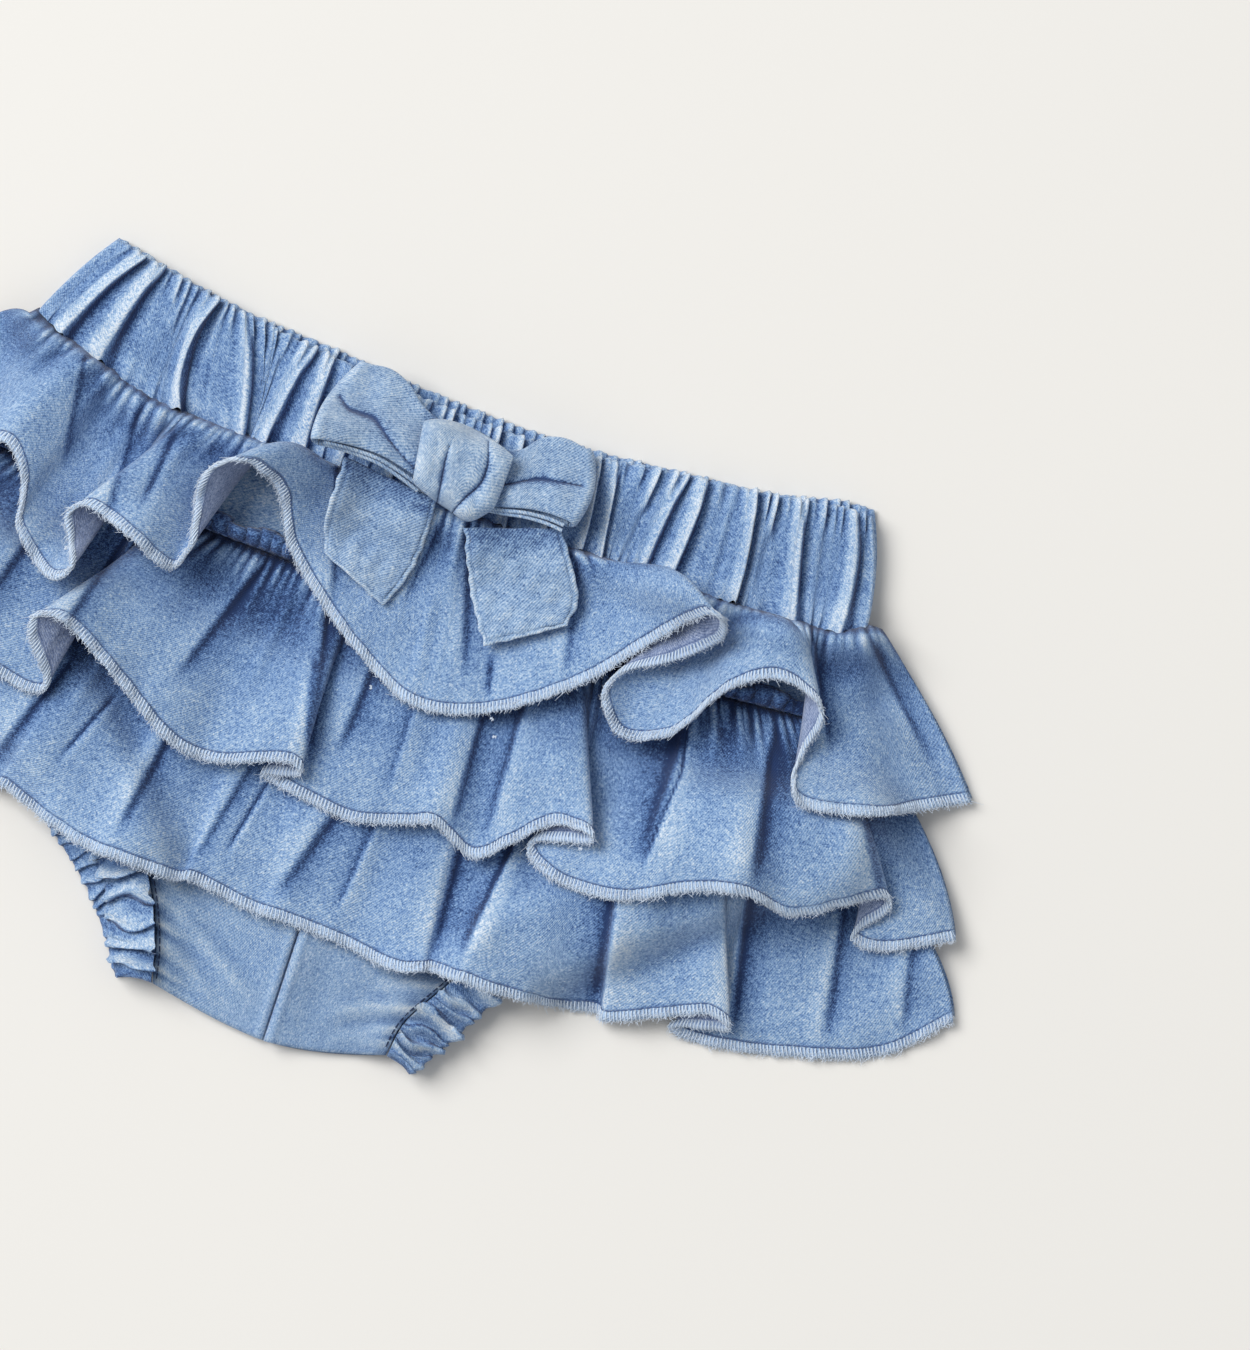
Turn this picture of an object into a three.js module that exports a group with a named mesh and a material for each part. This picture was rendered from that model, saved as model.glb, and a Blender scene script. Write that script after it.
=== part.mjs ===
// A baby's denim mini skirt: three gathered ruffle tiers over bloomers, with an elastic waist,
// elastic legs and a tied bow. It lies flat on its back, waist towards +Y, front facing up (+Z).
//
// Every panel is a wall of cloth over a grid of points. The pieces are laid one after another,
// from the back tiers that touch the table up to the bow, each on top of what is already there.
// Plan positions are measured from the middle of the waist's top edge, in millimetres.
import * as THREE from "three";

const CLOTH = 1; // washed chambray with its nap
const CASING = 2.4; // waist casing: two plies round an elastic
const BOW_PLY = 1.6; // the bow is cut double, turned and pressed
const SEAM_GAP = 0.35; // between two pieces that are sewn together
const ROOM = 0.35; // air between one layer and the next
const MIDDLE_Y = -79.5; // the middle of the garment's length, below the waist's top edge

const { lerp, clamp, smoothstep } = THREE.MathUtils;

// Tables: the first list names the columns, and each list after it is one row.
const table = (columns, ...rows) =>
  rows.map((row) => Object.fromEntries(columns.map((name, i) => [name, row[i]])));

// A smooth curve through a table's rows. The knots say how far along each row lies.
function through(rows, knots) {
  const slope = (i, column) => {
    const rise = (j) => (rows[j + 1][column] - rows[j][column]) / (knots[j + 1] - knots[j]);
    if (i === 0) return rise(0);
    if (i === rows.length - 1) return rise(i - 1);
    const [before, after] = [knots[i] - knots[i - 1], knots[i + 1] - knots[i]];
    return (rise(i - 1) * after + rise(i) * before) / (before + after);
  };
  return (at) => {
    let i = 0;
    while (i < rows.length - 2 && at > knots[i + 1]) i += 1;
    const span = knots[i + 1] - knots[i];
    const f = clamp((at - knots[i]) / span, 0, 1);
    const blend = f * f * (3 - 2 * f);
    const out = {};
    for (const column of Object.keys(rows[0])) {
      out[column] =
        lerp(rows[i][column], rows[i + 1][column], blend) +
        span * f * (1 - f) * ((1 - f) * slope(i, column) - f * slope(i + 1, column));
    }
    return out;
  };
}

// A curve through points in plan, given how far along it from 0 to 1 between the rows.
function edge(rows) {
  const knots = [0];
  for (let i = 1; i < rows.length; i += 1) {
    const step = Math.hypot(rows[i].x - rows[i - 1].x, rows[i].y - rows[i - 1].y);
    knots.push(knots[i - 1] + step);
  }
  const curve = through(rows, knots);
  return (share) => curve(share * knots.at(-1));
}

// A height that is read off a table by x.
function byX(rows, column) {
  const curve = through(rows, rows.map((row) => row.x));
  return (x) => curve(clamp(x, rows[0].x, rows.at(-1).x))[column];
}

// How high the laid cloth reaches, cell by cell over the table.
const CELL = 1.5;
const FIELD = { left: -174, bottom: -186, across: 232, up: 142 };
const SPREAD = 3; // cells that a layer bridges round what is under it

class Layers {
  constructor(top = new Float32Array(FIELD.across * FIELD.up)) {
    this.top = top;
    this.soft = top;
  }

  copy() {
    const made = new Layers(this.top.slice());
    made.soft = this.soft.slice();
    return made;
  }

  add(geometry) {
    const place = geometry.getAttribute("position");
    const corner = [new THREE.Vector3(), new THREE.Vector3(), new THREE.Vector3()];
    const spot = new THREE.Vector3();
    for (let i = 0; i < geometry.index.count; i += 3) {
      corner.forEach((c, k) => c.fromBufferAttribute(place, geometry.index.getX(i + k)));
      const longest = Math.max(corner[0].distanceTo(corner[1]), corner[0].distanceTo(corner[2]));
      const steps = Math.ceil((2 * longest) / CELL) + 1;
      for (let a = 0; a <= steps; a += 1) {
        for (let b = 0; a + b <= steps; b += 1) {
          spot.copy(corner[0]).multiplyScalar((steps - a - b) / steps);
          spot.addScaledVector(corner[1], a / steps).addScaledVector(corner[2], b / steps);
          const cell = this.cell(spot.x, spot.y);
          this.top[cell] = Math.max(this.top[cell], spot.z);
        }
      }
    }
    this.soft = this.pass(this.pass(this.top, Math.max, -Infinity, 1), (a, b) => a + b, 0);
  }

  cell(x, y) {
    const i = clamp(Math.round((x - FIELD.left) / CELL), 0, FIELD.across - 1);
    const j = clamp(Math.round((y - FIELD.bottom) / CELL), 0, FIELD.up - 1);
    return j * FIELD.across + i;
  }

  // The highest of a cell's neighbours, or with no share given, their mean.
  pass(cells, gather, start, share) {
    const out = new Float32Array(cells.length);
    for (let j = 0; j < FIELD.up; j += 1) {
      for (let i = 0; i < FIELD.across; i += 1) {
        let [sum, count] = [start, 0];
        for (let dj = -SPREAD; dj <= SPREAD; dj += 1) {
          for (let di = -SPREAD; di <= SPREAD; di += 1) {
            const [ni, nj] = [clamp(i + di, 0, FIELD.across - 1), clamp(j + dj, 0, FIELD.up - 1)];
            sum = gather(sum, cells[nj * FIELD.across + ni]);
            count += 1;
          }
        }
        out[j * FIELD.across + i] = sum / (share ?? count);
      }
    }
    return out;
  }

  // The same layers as something stiffer meets them: bridged over a wider reach.
  bridged() {
    const made = this.copy();
    made.soft = this.pass(this.pass(this.soft, Math.max, -Infinity, 1), (a, b) => a + b, 0);
    return made;
  }

  // Where the middle of a wall of this thickness lies at a place, resting on the layers.
  rest(x, y, thickness) {
    const [fx, fy] = [(x - FIELD.left) / CELL, (y - FIELD.bottom) / CELL];
    const [i, j] = [Math.floor(fx), Math.floor(fy)];
    const read = (di, dj) =>
      this.soft[clamp(j + dj, 0, FIELD.up - 1) * FIELD.across + clamp(i + di, 0, FIELD.across - 1)];
    const low = lerp(read(0, 0), read(1, 0), fx - i);
    const high = lerp(read(0, 1), read(1, 1), fx - i);
    const under = lerp(low, high, fy - j);
    return under + thickness / 2 + (under > 0 ? ROOM : 0);
  }
}

const layers = new Layers();
const garment = new THREE.Group();

// A closed wall of cloth about a grid of points, grid[column][row], with nothing below the table.
function wall(grid, thickness) {
  const [columns, rows] = [grid.length, grid[0].length];
  const point = (i, j) => grid[clamp(i, 0, columns - 1)][clamp(j, 0, rows - 1)];
  const places = [];
  const side = columns * rows;
  for (const half of [thickness / 2, -thickness / 2]) {
    for (let i = 0; i < columns; i += 1) {
      for (let j = 0; j < rows; j += 1) {
        const across = point(i + 1, j).clone().sub(point(i - 1, j));
        const down = point(i, j + 1).clone().sub(point(i, j - 1));
        const out = across.cross(down).normalize().multiplyScalar(-half).add(point(i, j));
        places.push(out.x, out.y, Math.max(out.z, 0));
      }
    }
  }
  const faces = [];
  const quad = (a, b, c, d) => faces.push(a, b, c, a, c, d);
  const at = (i, j) => i * rows + j;
  for (let i = 0; i < columns - 1; i += 1) {
    for (let j = 0; j < rows - 1; j += 1) {
      const [a, b, c, d] = [at(i, j), at(i, j + 1), at(i + 1, j + 1), at(i + 1, j)];
      quad(a, b, c, d);
      quad(c + side, b + side, a + side, d + side);
    }
  }
  const rim = [];
  for (let i = 0; i < columns - 1; i += 1) rim.push(at(i, 0));
  for (let j = 0; j < rows - 1; j += 1) rim.push(at(columns - 1, j));
  for (let i = columns - 1; i > 0; i -= 1) rim.push(at(i, rows - 1));
  for (let j = rows - 1; j > 0; j -= 1) rim.push(at(0, j));
  rim.forEach((a, k) => {
    const b = rim[(k + 1) % rim.length];
    quad(a, b, b + side, a + side);
  });
  const geometry = new THREE.BufferGeometry();
  geometry.setAttribute("position", new THREE.Float32BufferAttribute(places, 3));
  geometry.setIndex(faces);
  return geometry;
}

// Adds a piece to the garment, and to the layers that the next pieces rest on.
function sew(name, geometry, colour) {
  const cloth = new THREE.MeshStandardMaterial({ color: colour, roughness: 0.92, metalness: 0 });
  const mesh = new THREE.Mesh(geometry, cloth);
  mesh.name = name;
  garment.add(mesh);
  layers.add(geometry);
}

const grid = (columns, rows, place) =>
  Array.from({ length: columns + 1 }, (_, i) =>
    Array.from({ length: rows + 1 }, (__, j) => place(i / columns, j / rows, i, j)),
  );

const DENIM = 0x7f9fcf;
const BOW_DENIM = 0x93aed6;

// The waist casing: its top edge dips in the middle, and the back edge shows above the front.
const WAIST_TOP = table(
  ["x", "back", "front"],
  [-100, 10, 9.5], [-80, 5.4, 4.9], [-60, 2, 1.2], [-40, 0.5, -1.4], [-20, -1.5, -3.8],
  [0, -3, -5.3], [20, -3.5, -5.7], [36, -2.8, -4], [50, -1.6, -2.2], [80, 1.5, 0.9],
  [92, 4.3, 2.8], [101, 5, 3.2],
);
const WAIST_SEAM = table(
  ["x", "y"],
  [-113, -14], [-105, -18], [-95, -21], [-85, -24.5], [-70, -27], [-50, -27.5], [0, -28.5],
  [50, -28.5], [90, -28.5], [100, -27.5], [109, -24],
);
const BAND_EASE = 0.8; // the elastic holds the casing's front this far off its back
const BAND_ARCH = 2.4; // and arches it by this much between its edges
const waistSeam = byX(WAIST_SEAM, "y");

// Gathers of the casing: where each starts at the top edge and ends at the seam, how far it bows
// sideways between, how high and wide it is, and how far down it reaches.
const BAND_GATHERS = table(
  ["top", "seam", "bow", "height", "width", "reach"],
  [-92.5, -106, -1.5, 1.5, 3, 1],
  [-87.5, -95, -1.2, 1.7, 3, 1],
  [-80, -81, 0.5, 0.7, 2.6, 0.5],
  [-72, -72.5, -3.2, 1.8, 2.8, 1],
  [-63.5, -55.5, 1, 1.7, 2.8, 1],
  [-45.5, -49.5, -0.5, 1.6, 3.6, 1],
  [-39.5, -39.5, -0.6, 1.6, 3, 1],
  [-29, -30, 0, 1.2, 3, 1],
  [-14, -17, 0, 1.2, 2.6, 1],
  [-7, -7, 0, 1.2, 2.6, 1],
  [5, 7, 0, 1.4, 2.6, 1],
  [12, 14, 0, 1.2, 2.6, 1],
  [22, 24, 0, 1.2, 2.6, 1],
  [31, 34, 0.5, 1.5, 2.4, 1],
  [36, 39, 0, 1.5, 2.4, 1],
  [46.5, 45, 0, 0.9, 2.4, 0.5],
  [53, 50, -0.3, 1.6, 3, 1],
  [58.5, 56.5, 0.3, 1.8, 3, 1],
  [70.5, 74, 1, 1.9, 3, 1],
  [76.5, 80, 0, 0.9, 2.4, 0.4],
  [82.5, 89.5, -0.3, 1.8, 3.2, 1],
  [96.5, 101, 1.4, 1.7, 3, 1],
);

// One column of the casing for each gather's crest and both its feet, between the side folds.
function bandColumns(gathers, left, right) {
  const made = [left];
  for (const g of gathers) {
    for (const side of [-0.5, 0, 0.5]) {
      made.push({ ...g, top: g.top + side * g.width, seam: g.seam + side * g.width, crest: !side });
    }
  }
  made.push(right);
  return made.map((c) => ({ bow: 0, height: 0, reach: 1, crest: false, ...c }));
}

function casing(name, columns, topEdge, heightAt) {
  const rows = 4;
  const place = (share, down, i) => {
    const column = columns[i];
    const x = lerp(column.top, column.seam, down) + column.bow * 4 * down * (1 - down);
    const y = lerp(topEdge(column.top), waistSeam(column.seam), down);
    const fade = 1 - smoothstep(down, column.reach * 0.6, column.reach * 1.02);
    const gather = column.crest ? column.height * (column.reach < 1 ? fade : 1) : 0;
    return new THREE.Vector3(x, y, heightAt(x, y, down) + gather);
  };
  sew(name, wall(grid(columns.length - 1, rows, place), CASING), DENIM);
}

const LEFT_FOLD = { top: -99.5, seam: -112.5, bow: -1 };
const RIGHT_FOLD = { top: 101, seam: 108.5, bow: 1.5 };
const BACK_GATHERS = Array.from({ length: 12 }, (_, i) => ({
  top: -88 + 16 * i,
  seam: -97 + 17.6 * i,
  height: 0.5,
  width: 5,
}));
casing(
  "waistband_back",
  bandColumns(BACK_GATHERS, LEFT_FOLD, RIGHT_FOLD),
  byX(WAIST_TOP, "back"),
  () => CASING / 2,
);

// The tiers. Each is a gathered strip from a level seam, its root, to a free hem.
const DEPTHS = [0, 0.09, 0.24, 0.48, 0.74, 1]; // rows of the wall between root and hem
const PUFF = 1.6; // cloth stands this far off the straight line from root to hem
const GATHER = 0.7; // height of the small gathers under each seam
const GATHER_SLOPE = 0.15; // no higher than this share of their width
const GATHER_FADE = 0.4; // share of the depth by which they are gone
const ROOT_DROP = 1; // the ruffle starts this far below the casing

const TIERS = [
  {
    name: "ruffle_top",
    root: (x) => waistSeam(x) - ROOT_DROP,
    steps: 3,
    back: { side: 147, sideY: -56, depth: 43 },
    hem: table(
      ["root", "x", "y", "lift", "over", "bow"],
      [-112.5, -147, -56, 0.4, 8, 0], // left side fold
      [-109, -131, -64, 0.8, 5, 0],
      [-104, -119, -52, 8, 0, 0],
      [-97, -109, -48, 12, 3, 0],
      [-90, -102, -56, 8, 2, 0],
      [-85, -99, -67.5, 2.5, 0, 0],
      [-78, -89, -75.8, 0.7, 0, 0],
      [-73, -83.5, -74, 2.5, 0, 0],
      [-70.5, -85, -68, 6.5, 0, 0],
      [-67.5, -88.6, -61, 11, 0, 0], // left flute turns under
      [-64.5, -85, -56.5, 14, 0, 0],
      [-57.5, -73, -60, 12, 0, 0],
      [-51.5, -61, -65, 4, 0, 0],
      [-48, -57.5, -58, 9, 0, 0],
      [-45, -59, -49, 13, 0.3, 0],
      [-42.3, -60, -41.5, 17, 1, 0], // the tall flute left of the bow
      [-39, -56, -35.5, 19, 3, 0],
      [-35, -49.5, -33.8, 18.5, 3.5, 0],
      [-29.5, -41, -38, 13, 2, 0],
      [-24.5, -34.5, -50, 7, 1, 0],
      [-17, -23, -60.5, 2, 0, 0],
      [-7, -7, -71.5, 1, 0, 0],
      [4, 8, -78, 0.8, 0, 0], // the broad sheet under the bow
      [16, 26, -73.5, 1.2, 0, 0],
      [30, 45, -60, 5, 2, 0],
      [43, 57.5, -46, 10.5, 4.5, 0],
      [50, 66, -36.2, 15, 4.5, 0],
      [54, 71, -33, 17.2, 3.5, 0],
      [56.2, 74.6, -34.8, 14.8, 2.6, 0], // it folds back under itself
      [58.4, 74.8, -38.2, 12.8, 1.6, 0],
      [60.4, 70.5, -42.8, 11.4, 0.8, 0],
      [62.6, 63.5, -48.2, 9.6, 0, 0],
      [64.6, 56, -52.3, 8.6, 0, 0],
      [66.4, 51.6, -57, 5.6, 0, 0],
      [68.2, 51.6, -62, 3, 0, 0],
      [70, 55, -66.6, 1.6, 0, 0],
      [72, 60.5, -69, 1.8, 0, 0],
      [75, 71, -64, 4.2, 0, 0],
      [79, 80, -50, 10, 2, 0],
      [85.5, 92, -43, 13, 3, 0], // right flute
      [91.5, 104.5, -48, 10, 1, 0],
      [96, 102.5, -62, 4, 0, 0],
      [100, 106, -71, 0.8, 0, 0],
      [106, 125, -67.5, 0.4, 0, 1],
      [112, 147, -57, 0.4, 0, 2], // right side fold
    ),
  },
  {
    name: "ruffle_middle",
    root: (x) => -54 + 5 * (x / 116) ** 2,
    steps: 3,
    back: { side: 154, sideY: -90, depth: 44 },
    hem: table(
      ["root", "x", "y", "lift", "over", "bow"],
      [-116, -154, -90, 0.4, 0, -5], // left side fold
      [-108, -133, -98, 1, 0, -3],
      [-99, -118, -93, 6, 0, 0],
      [-90, -105, -100, 2.5, 0, 0],
      [-80, -94, -103, 0.6, 0, 0],
      [-74, -85.5, -104.8, 0.6, 0, 0],
      [-71.3, -81.3, -103.8, 1.6, 0, 0],
      [-69.4, -81, -100.8, 3.6, 0, 0],
      [-67.3, -84, -96.8, 6, 0, 0],
      [-65, -88.2, -91, 9, 0, 0], // left flute
      [-62, -88, -86.7, 11.5, 0, 0],
      [-57, -81, -85.5, 13, 1, 0],
      [-49, -66, -94, 9, 1, 0],
      [-39, -48, -105.5, 4, 0, 0],
      [-30, -36, -107, 2.5, 0, 0],
      [-22.5, -24, -103, 6.4, 0, 0],
      [-18.5, -18, -101.8, 7.8, 0, 0],
      [-16.6, -14.8, -102.2, 7.2, 0, 0], // a pleat folds a little under
      [-15.2, -14.4, -103.4, 4.6, 0, 0],
      [-13.4, -17, -104.6, 3, 0, 0.8],
      [-11.6, -18.8, -105.6, 1.6, 0, 1.6],
      [-9.6, -17.5, -106.8, 0.5, 0, 1.6],
      [-4.5, -9, -109, 0.4, 0, 0.4],
      [3, 2, -110, 0.6, 0, 0],
      [11, 15, -106.5, 2.5, 0, 0],
      [15.5, 22, -104.5, 4, 0, 0],
      [22, 33, -109.3, 1, 0, 0],
      [28, 40.5, -103.5, 4, 0, 0],
      [35, 49, -95.3, 8, 0, 0],
      [39.6, 56, -94, 9.8, 0, 0],
      [41.6, 59.7, -94.8, 9.4, 0, 0], // a pleat folds under
      [43, 59.7, -96, 6.6, 0, 0.4],
      [44.6, 56, -97.6, 5.6, 0, 1.6],
      [46.4, 51, -99, 4.4, 0, 3],
      [48.4, 47, -101, 2.8, 0, 4],
      [50.4, 46.6, -103.6, 1, 0, 3.6],
      [53, 50.5, -106.4, 0.4, 0, 2.2],
      [57, 58, -108.6, 0.5, 0, 1],
      [63, 72, -107.2, 1.2, 0, 0],
      [72, 87, -100, 4.8, 0, 0],
      [82, 100, -96.5, 7.6, 0, 0],
      [90, 113, -97.7, 6, 0, 0],
      [98, 126, -90.2, 6.4, 0, 0],
      [103, 132.6, -87.2, 6.8, 0, 1],
      [106.4, 135.4, -89.4, 4.6, 0, 2], // right flute turns down
      [109, 135.8, -93.6, 2.6, 0, 2.6],
      [111.4, 138, -97, 0.9, 0, 3.2],
      [113.6, 143, -96.6, 0.5, 0, 4],
      [116, 154, -91, 0.4, 0, 5], // right side fold
    ),
  },
  {
    name: "ruffle_bottom",
    root: (x) => -80 + 7 * (x / 118) ** 2,
    steps: 2,
    back: { side: 160, sideY: -109, depth: 53 },
    hem: table(
      ["root", "x", "y", "lift", "over", "bow"],
      [-118, -160, -110, 0.4, 0, -7], // left side fold
      [-106, -142, -124, 0.6, 0, -3],
      [-95, -122, -127, 2.5, 0, 0],
      [-85, -105, -126, 3, 0, 0],
      [-74, -88, -130, 0.8, 0, 0],
      [-69, -83.5, -129.5, 2.8, 0, 0],
      [-62, -72, -133.5, 2, 0, 0],
      [-53, -60, -137, 1.5, 0, 0],
      [-44, -50, -137.5, 3, 0, 0],
      [-33, -36, -138, 0.6, 0, 0],
      [-26, -31, -137, 2.6, 0, 0],
      [-16, -16, -139.3, 1.6, 0, 0],
      [-8, -9, -139.3, 2.4, 0, 0],
      [-3, -2, -139.5, 0.5, 0, 0],
      [8, 10, -140.3, 0.9, 0, 0],
      [17, 22, -142, 3.4, 0, 0],
      [23, 29, -140.5, 3, 0, 0],
      [27, 32, -139.3, 0.5, 0, 0],
      [34, 38.5, -139.5, 0.5, 0, 0],
      [38, 41, -139.2, 2.2, 0, 0],
      [45, 50, -139.5, 1.6, 0, 0],
      [57, 65, -138, 0.6, 0, 0],
      [63, 75, -136.5, 0.6, 0, 0],
      [66, 78, -137.5, 3.5, 0, 0],
      [76, 91, -132, 5, 0, 0],
      [82.6, 101, -127.9, 6.6, 0, 0],
      [85.6, 106.8, -129, 6.2, 0, 0], // a pleat folds under
      [86.8, 106.8, -130.4, 4.4, 0, 0.6],
      [88, 102, -131.6, 4, 0, 2.5],
      [89.6, 96, -133, 3.2, 0, 5.5],
      [91.2, 93.3, -134.4, 1.9, 0, 7],
      [93, 97.5, -135.6, 0.5, 0, 5.5],
      [96, 107, -135, 0.4, 0, 2],
      [101, 122, -132, 0.4, 0, 1],
      [109, 145, -124.5, 0.4, 0, 4],
      [118, 160, -110.5, 0.4, 0, 7], // right side fold
    ),
  },
];

// A front tier, laid on what is under it. Every second column is the crest of a small gather.
function frontTier({ name, root, steps, hem }, rootLayers) {
  const columns = (hem.length - 1) * steps;
  const curve = through(hem, hem.map((_, i) => i / (hem.length - 1)));
  const place = (share, _, i, j) => {
    const v = DEPTHS[j];
    const row = curve(share);
    const x = lerp(row.root, row.x, v) + row.bow * 4 * v * (1 - v);
    const past = Math.max(0, v - 0.05);
    const y = lerp(root(row.root), row.y, v) + row.over * 6.75 * past * (1 - past) ** 2;
    const base = (j ? layers : rootLayers).rest(x, y, CLOTH);
    const pitch = curve(share + 1 / columns).root - curve(share - 1 / columns).root;
    const tight = i % 2 && j ? Math.min(GATHER, pitch * GATHER_SLOPE) : 0;
    const gather = tight * Math.max(0, 1 - v / GATHER_FADE);
    const arch = row.lift * (1 - (1 - v) ** 1.5) + PUFF * 4 * v * (1 - v);
    return new THREE.Vector3(x, y, base + Math.max(arch, 0) + gather);
  };
  sew(name + "_front", wall(grid(columns, DEPTHS.length - 1, place), CLOTH), DENIM);
}

// A back tier lies pressed flat between the bloomers and the table, its hem just inside the front's.
const BACK_WAVES = 9;
const BACK_WAVE = 1.4;
function backTier({ name, root, back, hem }) {
  const [left, right] = [hem[0].root, hem.at(-1).root];
  const place = (share, v) => {
    const from = lerp(left, right, share);
    const side = lerp(-1, 1, share);
    const scallop = BACK_WAVE * Math.sin(share * BACK_WAVES * 2 * Math.PI) * (1 - side ** 4);
    const middleY = root(0) - back.depth;
    const hemY = lerp(middleY, back.sideY, side * side) + scallop;
    const bulge = lerp(hem[0].bow, hem.at(-1).bow, share) * Math.abs(side) * 4 * v * (1 - v);
    const x = lerp(from, side * back.side, v) + bulge;
    const y = lerp(root(from), hemY, v);
    return new THREE.Vector3(x, y, layers.rest(x, y, CLOTH));
  };
  sew(name + "_back", wall(grid(32, 4, place), CLOTH), DENIM);
}
TIERS.forEach(backTier);

// The bloomers: a leg opening's edge runs from the side seam down to the crotch.
const CENTRE_SEAM = -2; // the front's centre seam lies a little left of the middle
const CROTCH_Y = -169.3;
const LEGS = {
  left: {
    front: table(
      ["x", "y", "innerX", "innerY"],
      [-116, -80, -108, -73], [-88, -106, -80, -98.5], [-62, -132, -53.5, -125],
      [-51.5, -146, -41, -141], [-47.5, -156, -35.5, -153.5], [-42, -166, -33, -164.2],
    ),
    back: table(
      ["x", "y", "innerX", "innerY"],
      [-117, -82, -109, -75], [-94, -113, -85.5, -106.5], [-72, -134, -65, -125.5],
      [-57, -146.5, -49, -139], [-49, -156, -38, -152], [-42.5, -166, -33, -164.5],
    ),
  },
  right: {
    front: table(
      ["x", "y", "innerX", "innerY"],
      [116, -80, 108, -73], [84, -106, 76, -98.5], [57, -131, 48.5, -123.5],
      [47.5, -146.5, 37, -142], [42.5, -155.5, 30.5, -153], [36, -165.8, 28.5, -163],
    ),
    back: table(
      ["x", "y", "innerX", "innerY"],
      [116, -81, 108, -74], [83, -107, 75, -99.5], [56, -132, 47.5, -124.5],
      [46.5, -147.5, 36, -143], [41.5, -156.5, 30, -154], [35.5, -166, 28.5, -163.2],
    ),
  },
};

// A panel of the bloomers between the centre line and one side, ending at its leg casing.
const PANEL_EASE = 0.3; // the panels are loose over what is under them
const LEG_TOP = 0.38; // share of the panel's length above the leg opening
function panelPlace(rows, centreX, side, top) {
  const leg = edge(rows);
  const inner = (at) => ({ x: leg(at).innerX - side * SEAM_GAP, y: leg(at).innerY });
  const waist = { x: side * 108.5, y: top(side * 108.5) };
  return (share, v) => {
    const start = inner(0);
    const outer =
      v < LEG_TOP
        ? { x: lerp(waist.x, start.x, v / LEG_TOP), y: lerp(waist.y, start.y, v / LEG_TOP) }
        : inner((v - LEG_TOP) / (1 - LEG_TOP));
    const middleY = lerp(top(centreX), CROTCH_Y, (outer.y - waist.y) / (inner(1).y - waist.y));
    const x = lerp(centreX, outer.x, share);
    const y = v ? lerp(middleY, outer.y, share ** lerp(1, 1.6, v)) : top(x);
    return { x, y };
  };
}

function panel(name, place, columns, rows, ease) {
  const laid = (share, v) => {
    const { x, y } = place(share, v);
    return new THREE.Vector3(x, y, layers.rest(x, y, CLOTH) + ease);
  };
  const mirrored = place(1, 0).x < place(0, 0).x;
  const points = grid(columns, rows, laid);
  sew(name, wall(mirrored ? points.reverse() : points, CLOTH), DENIM);
}

const PANEL_TOP = (x) => waistSeam(x) - SEAM_GAP;
const BACK_LEGS = {
  left: panelPlace(LEGS.left.back, 0, -1, PANEL_TOP),
  right: panelPlace(LEGS.right.back, 0, 1, PANEL_TOP),
};
panel(
  "bloomers_back",
  (share, v) => (share < 0.5 ? BACK_LEGS.left(1 - 2 * share, v) : BACK_LEGS.right(2 * share - 1, v)),
  18,
  12,
  PANEL_EASE,
);

// A leg casing: a narrow strip along the opening, puckered across by its elastic.
const LEG_GATHERS = 13;
const LEG_GATHER = 0.9;
function legCasing(name, rows, ease) {
  const leg = edge(rows);
  const place = (share, across, i) => {
    const row = leg(share);
    const [x, y] = [lerp(row.x, row.innerX, across), lerp(row.y, row.innerY, across)];
    const pucker = i % 2 ? LEG_GATHER : 0;
    return new THREE.Vector3(x, y, layers.rest(x, y, CLOTH) + ease + pucker);
  };
  const points = grid(LEG_GATHERS * 2, 2, place);
  sew(name, wall(rows[0].x < 0 ? points : points.reverse(), CLOTH), DENIM);
}
legCasing("leg_left_back", LEGS.left.back, 0);
legCasing("leg_right_back", LEGS.right.back, 0);
panel(
  "bloomers_front_left",
  panelPlace(LEGS.left.front, CENTRE_SEAM - SEAM_GAP / 2, -1, PANEL_TOP),
  10,
  12,
  PANEL_EASE,
);
panel(
  "bloomers_front_right",
  panelPlace(LEGS.right.front, CENTRE_SEAM + SEAM_GAP / 2, 1, PANEL_TOP),
  10,
  12,
  PANEL_EASE,
);
legCasing("leg_left_front", LEGS.left.front, PANEL_EASE);
legCasing("leg_right_front", LEGS.right.front, PANEL_EASE);

const bloomersLaid = layers.copy();
casing(
  "waistband_front",
  bandColumns(BAND_GATHERS, LEFT_FOLD, RIGHT_FOLD),
  byX(WAIST_TOP, "front"),
  (x, y, down) => {
    const arch = BAND_EASE * (1 - down) + BAND_ARCH * Math.sin(down * Math.PI);
    return layers.rest(x, y, CASING) + arch * (1 - (x / 113) ** 4);
  },
);
frontTier(TIERS[2], layers.copy());
frontTier(TIERS[1], layers.copy());
frontTier(TIERS[0], bloomersLaid);

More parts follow.
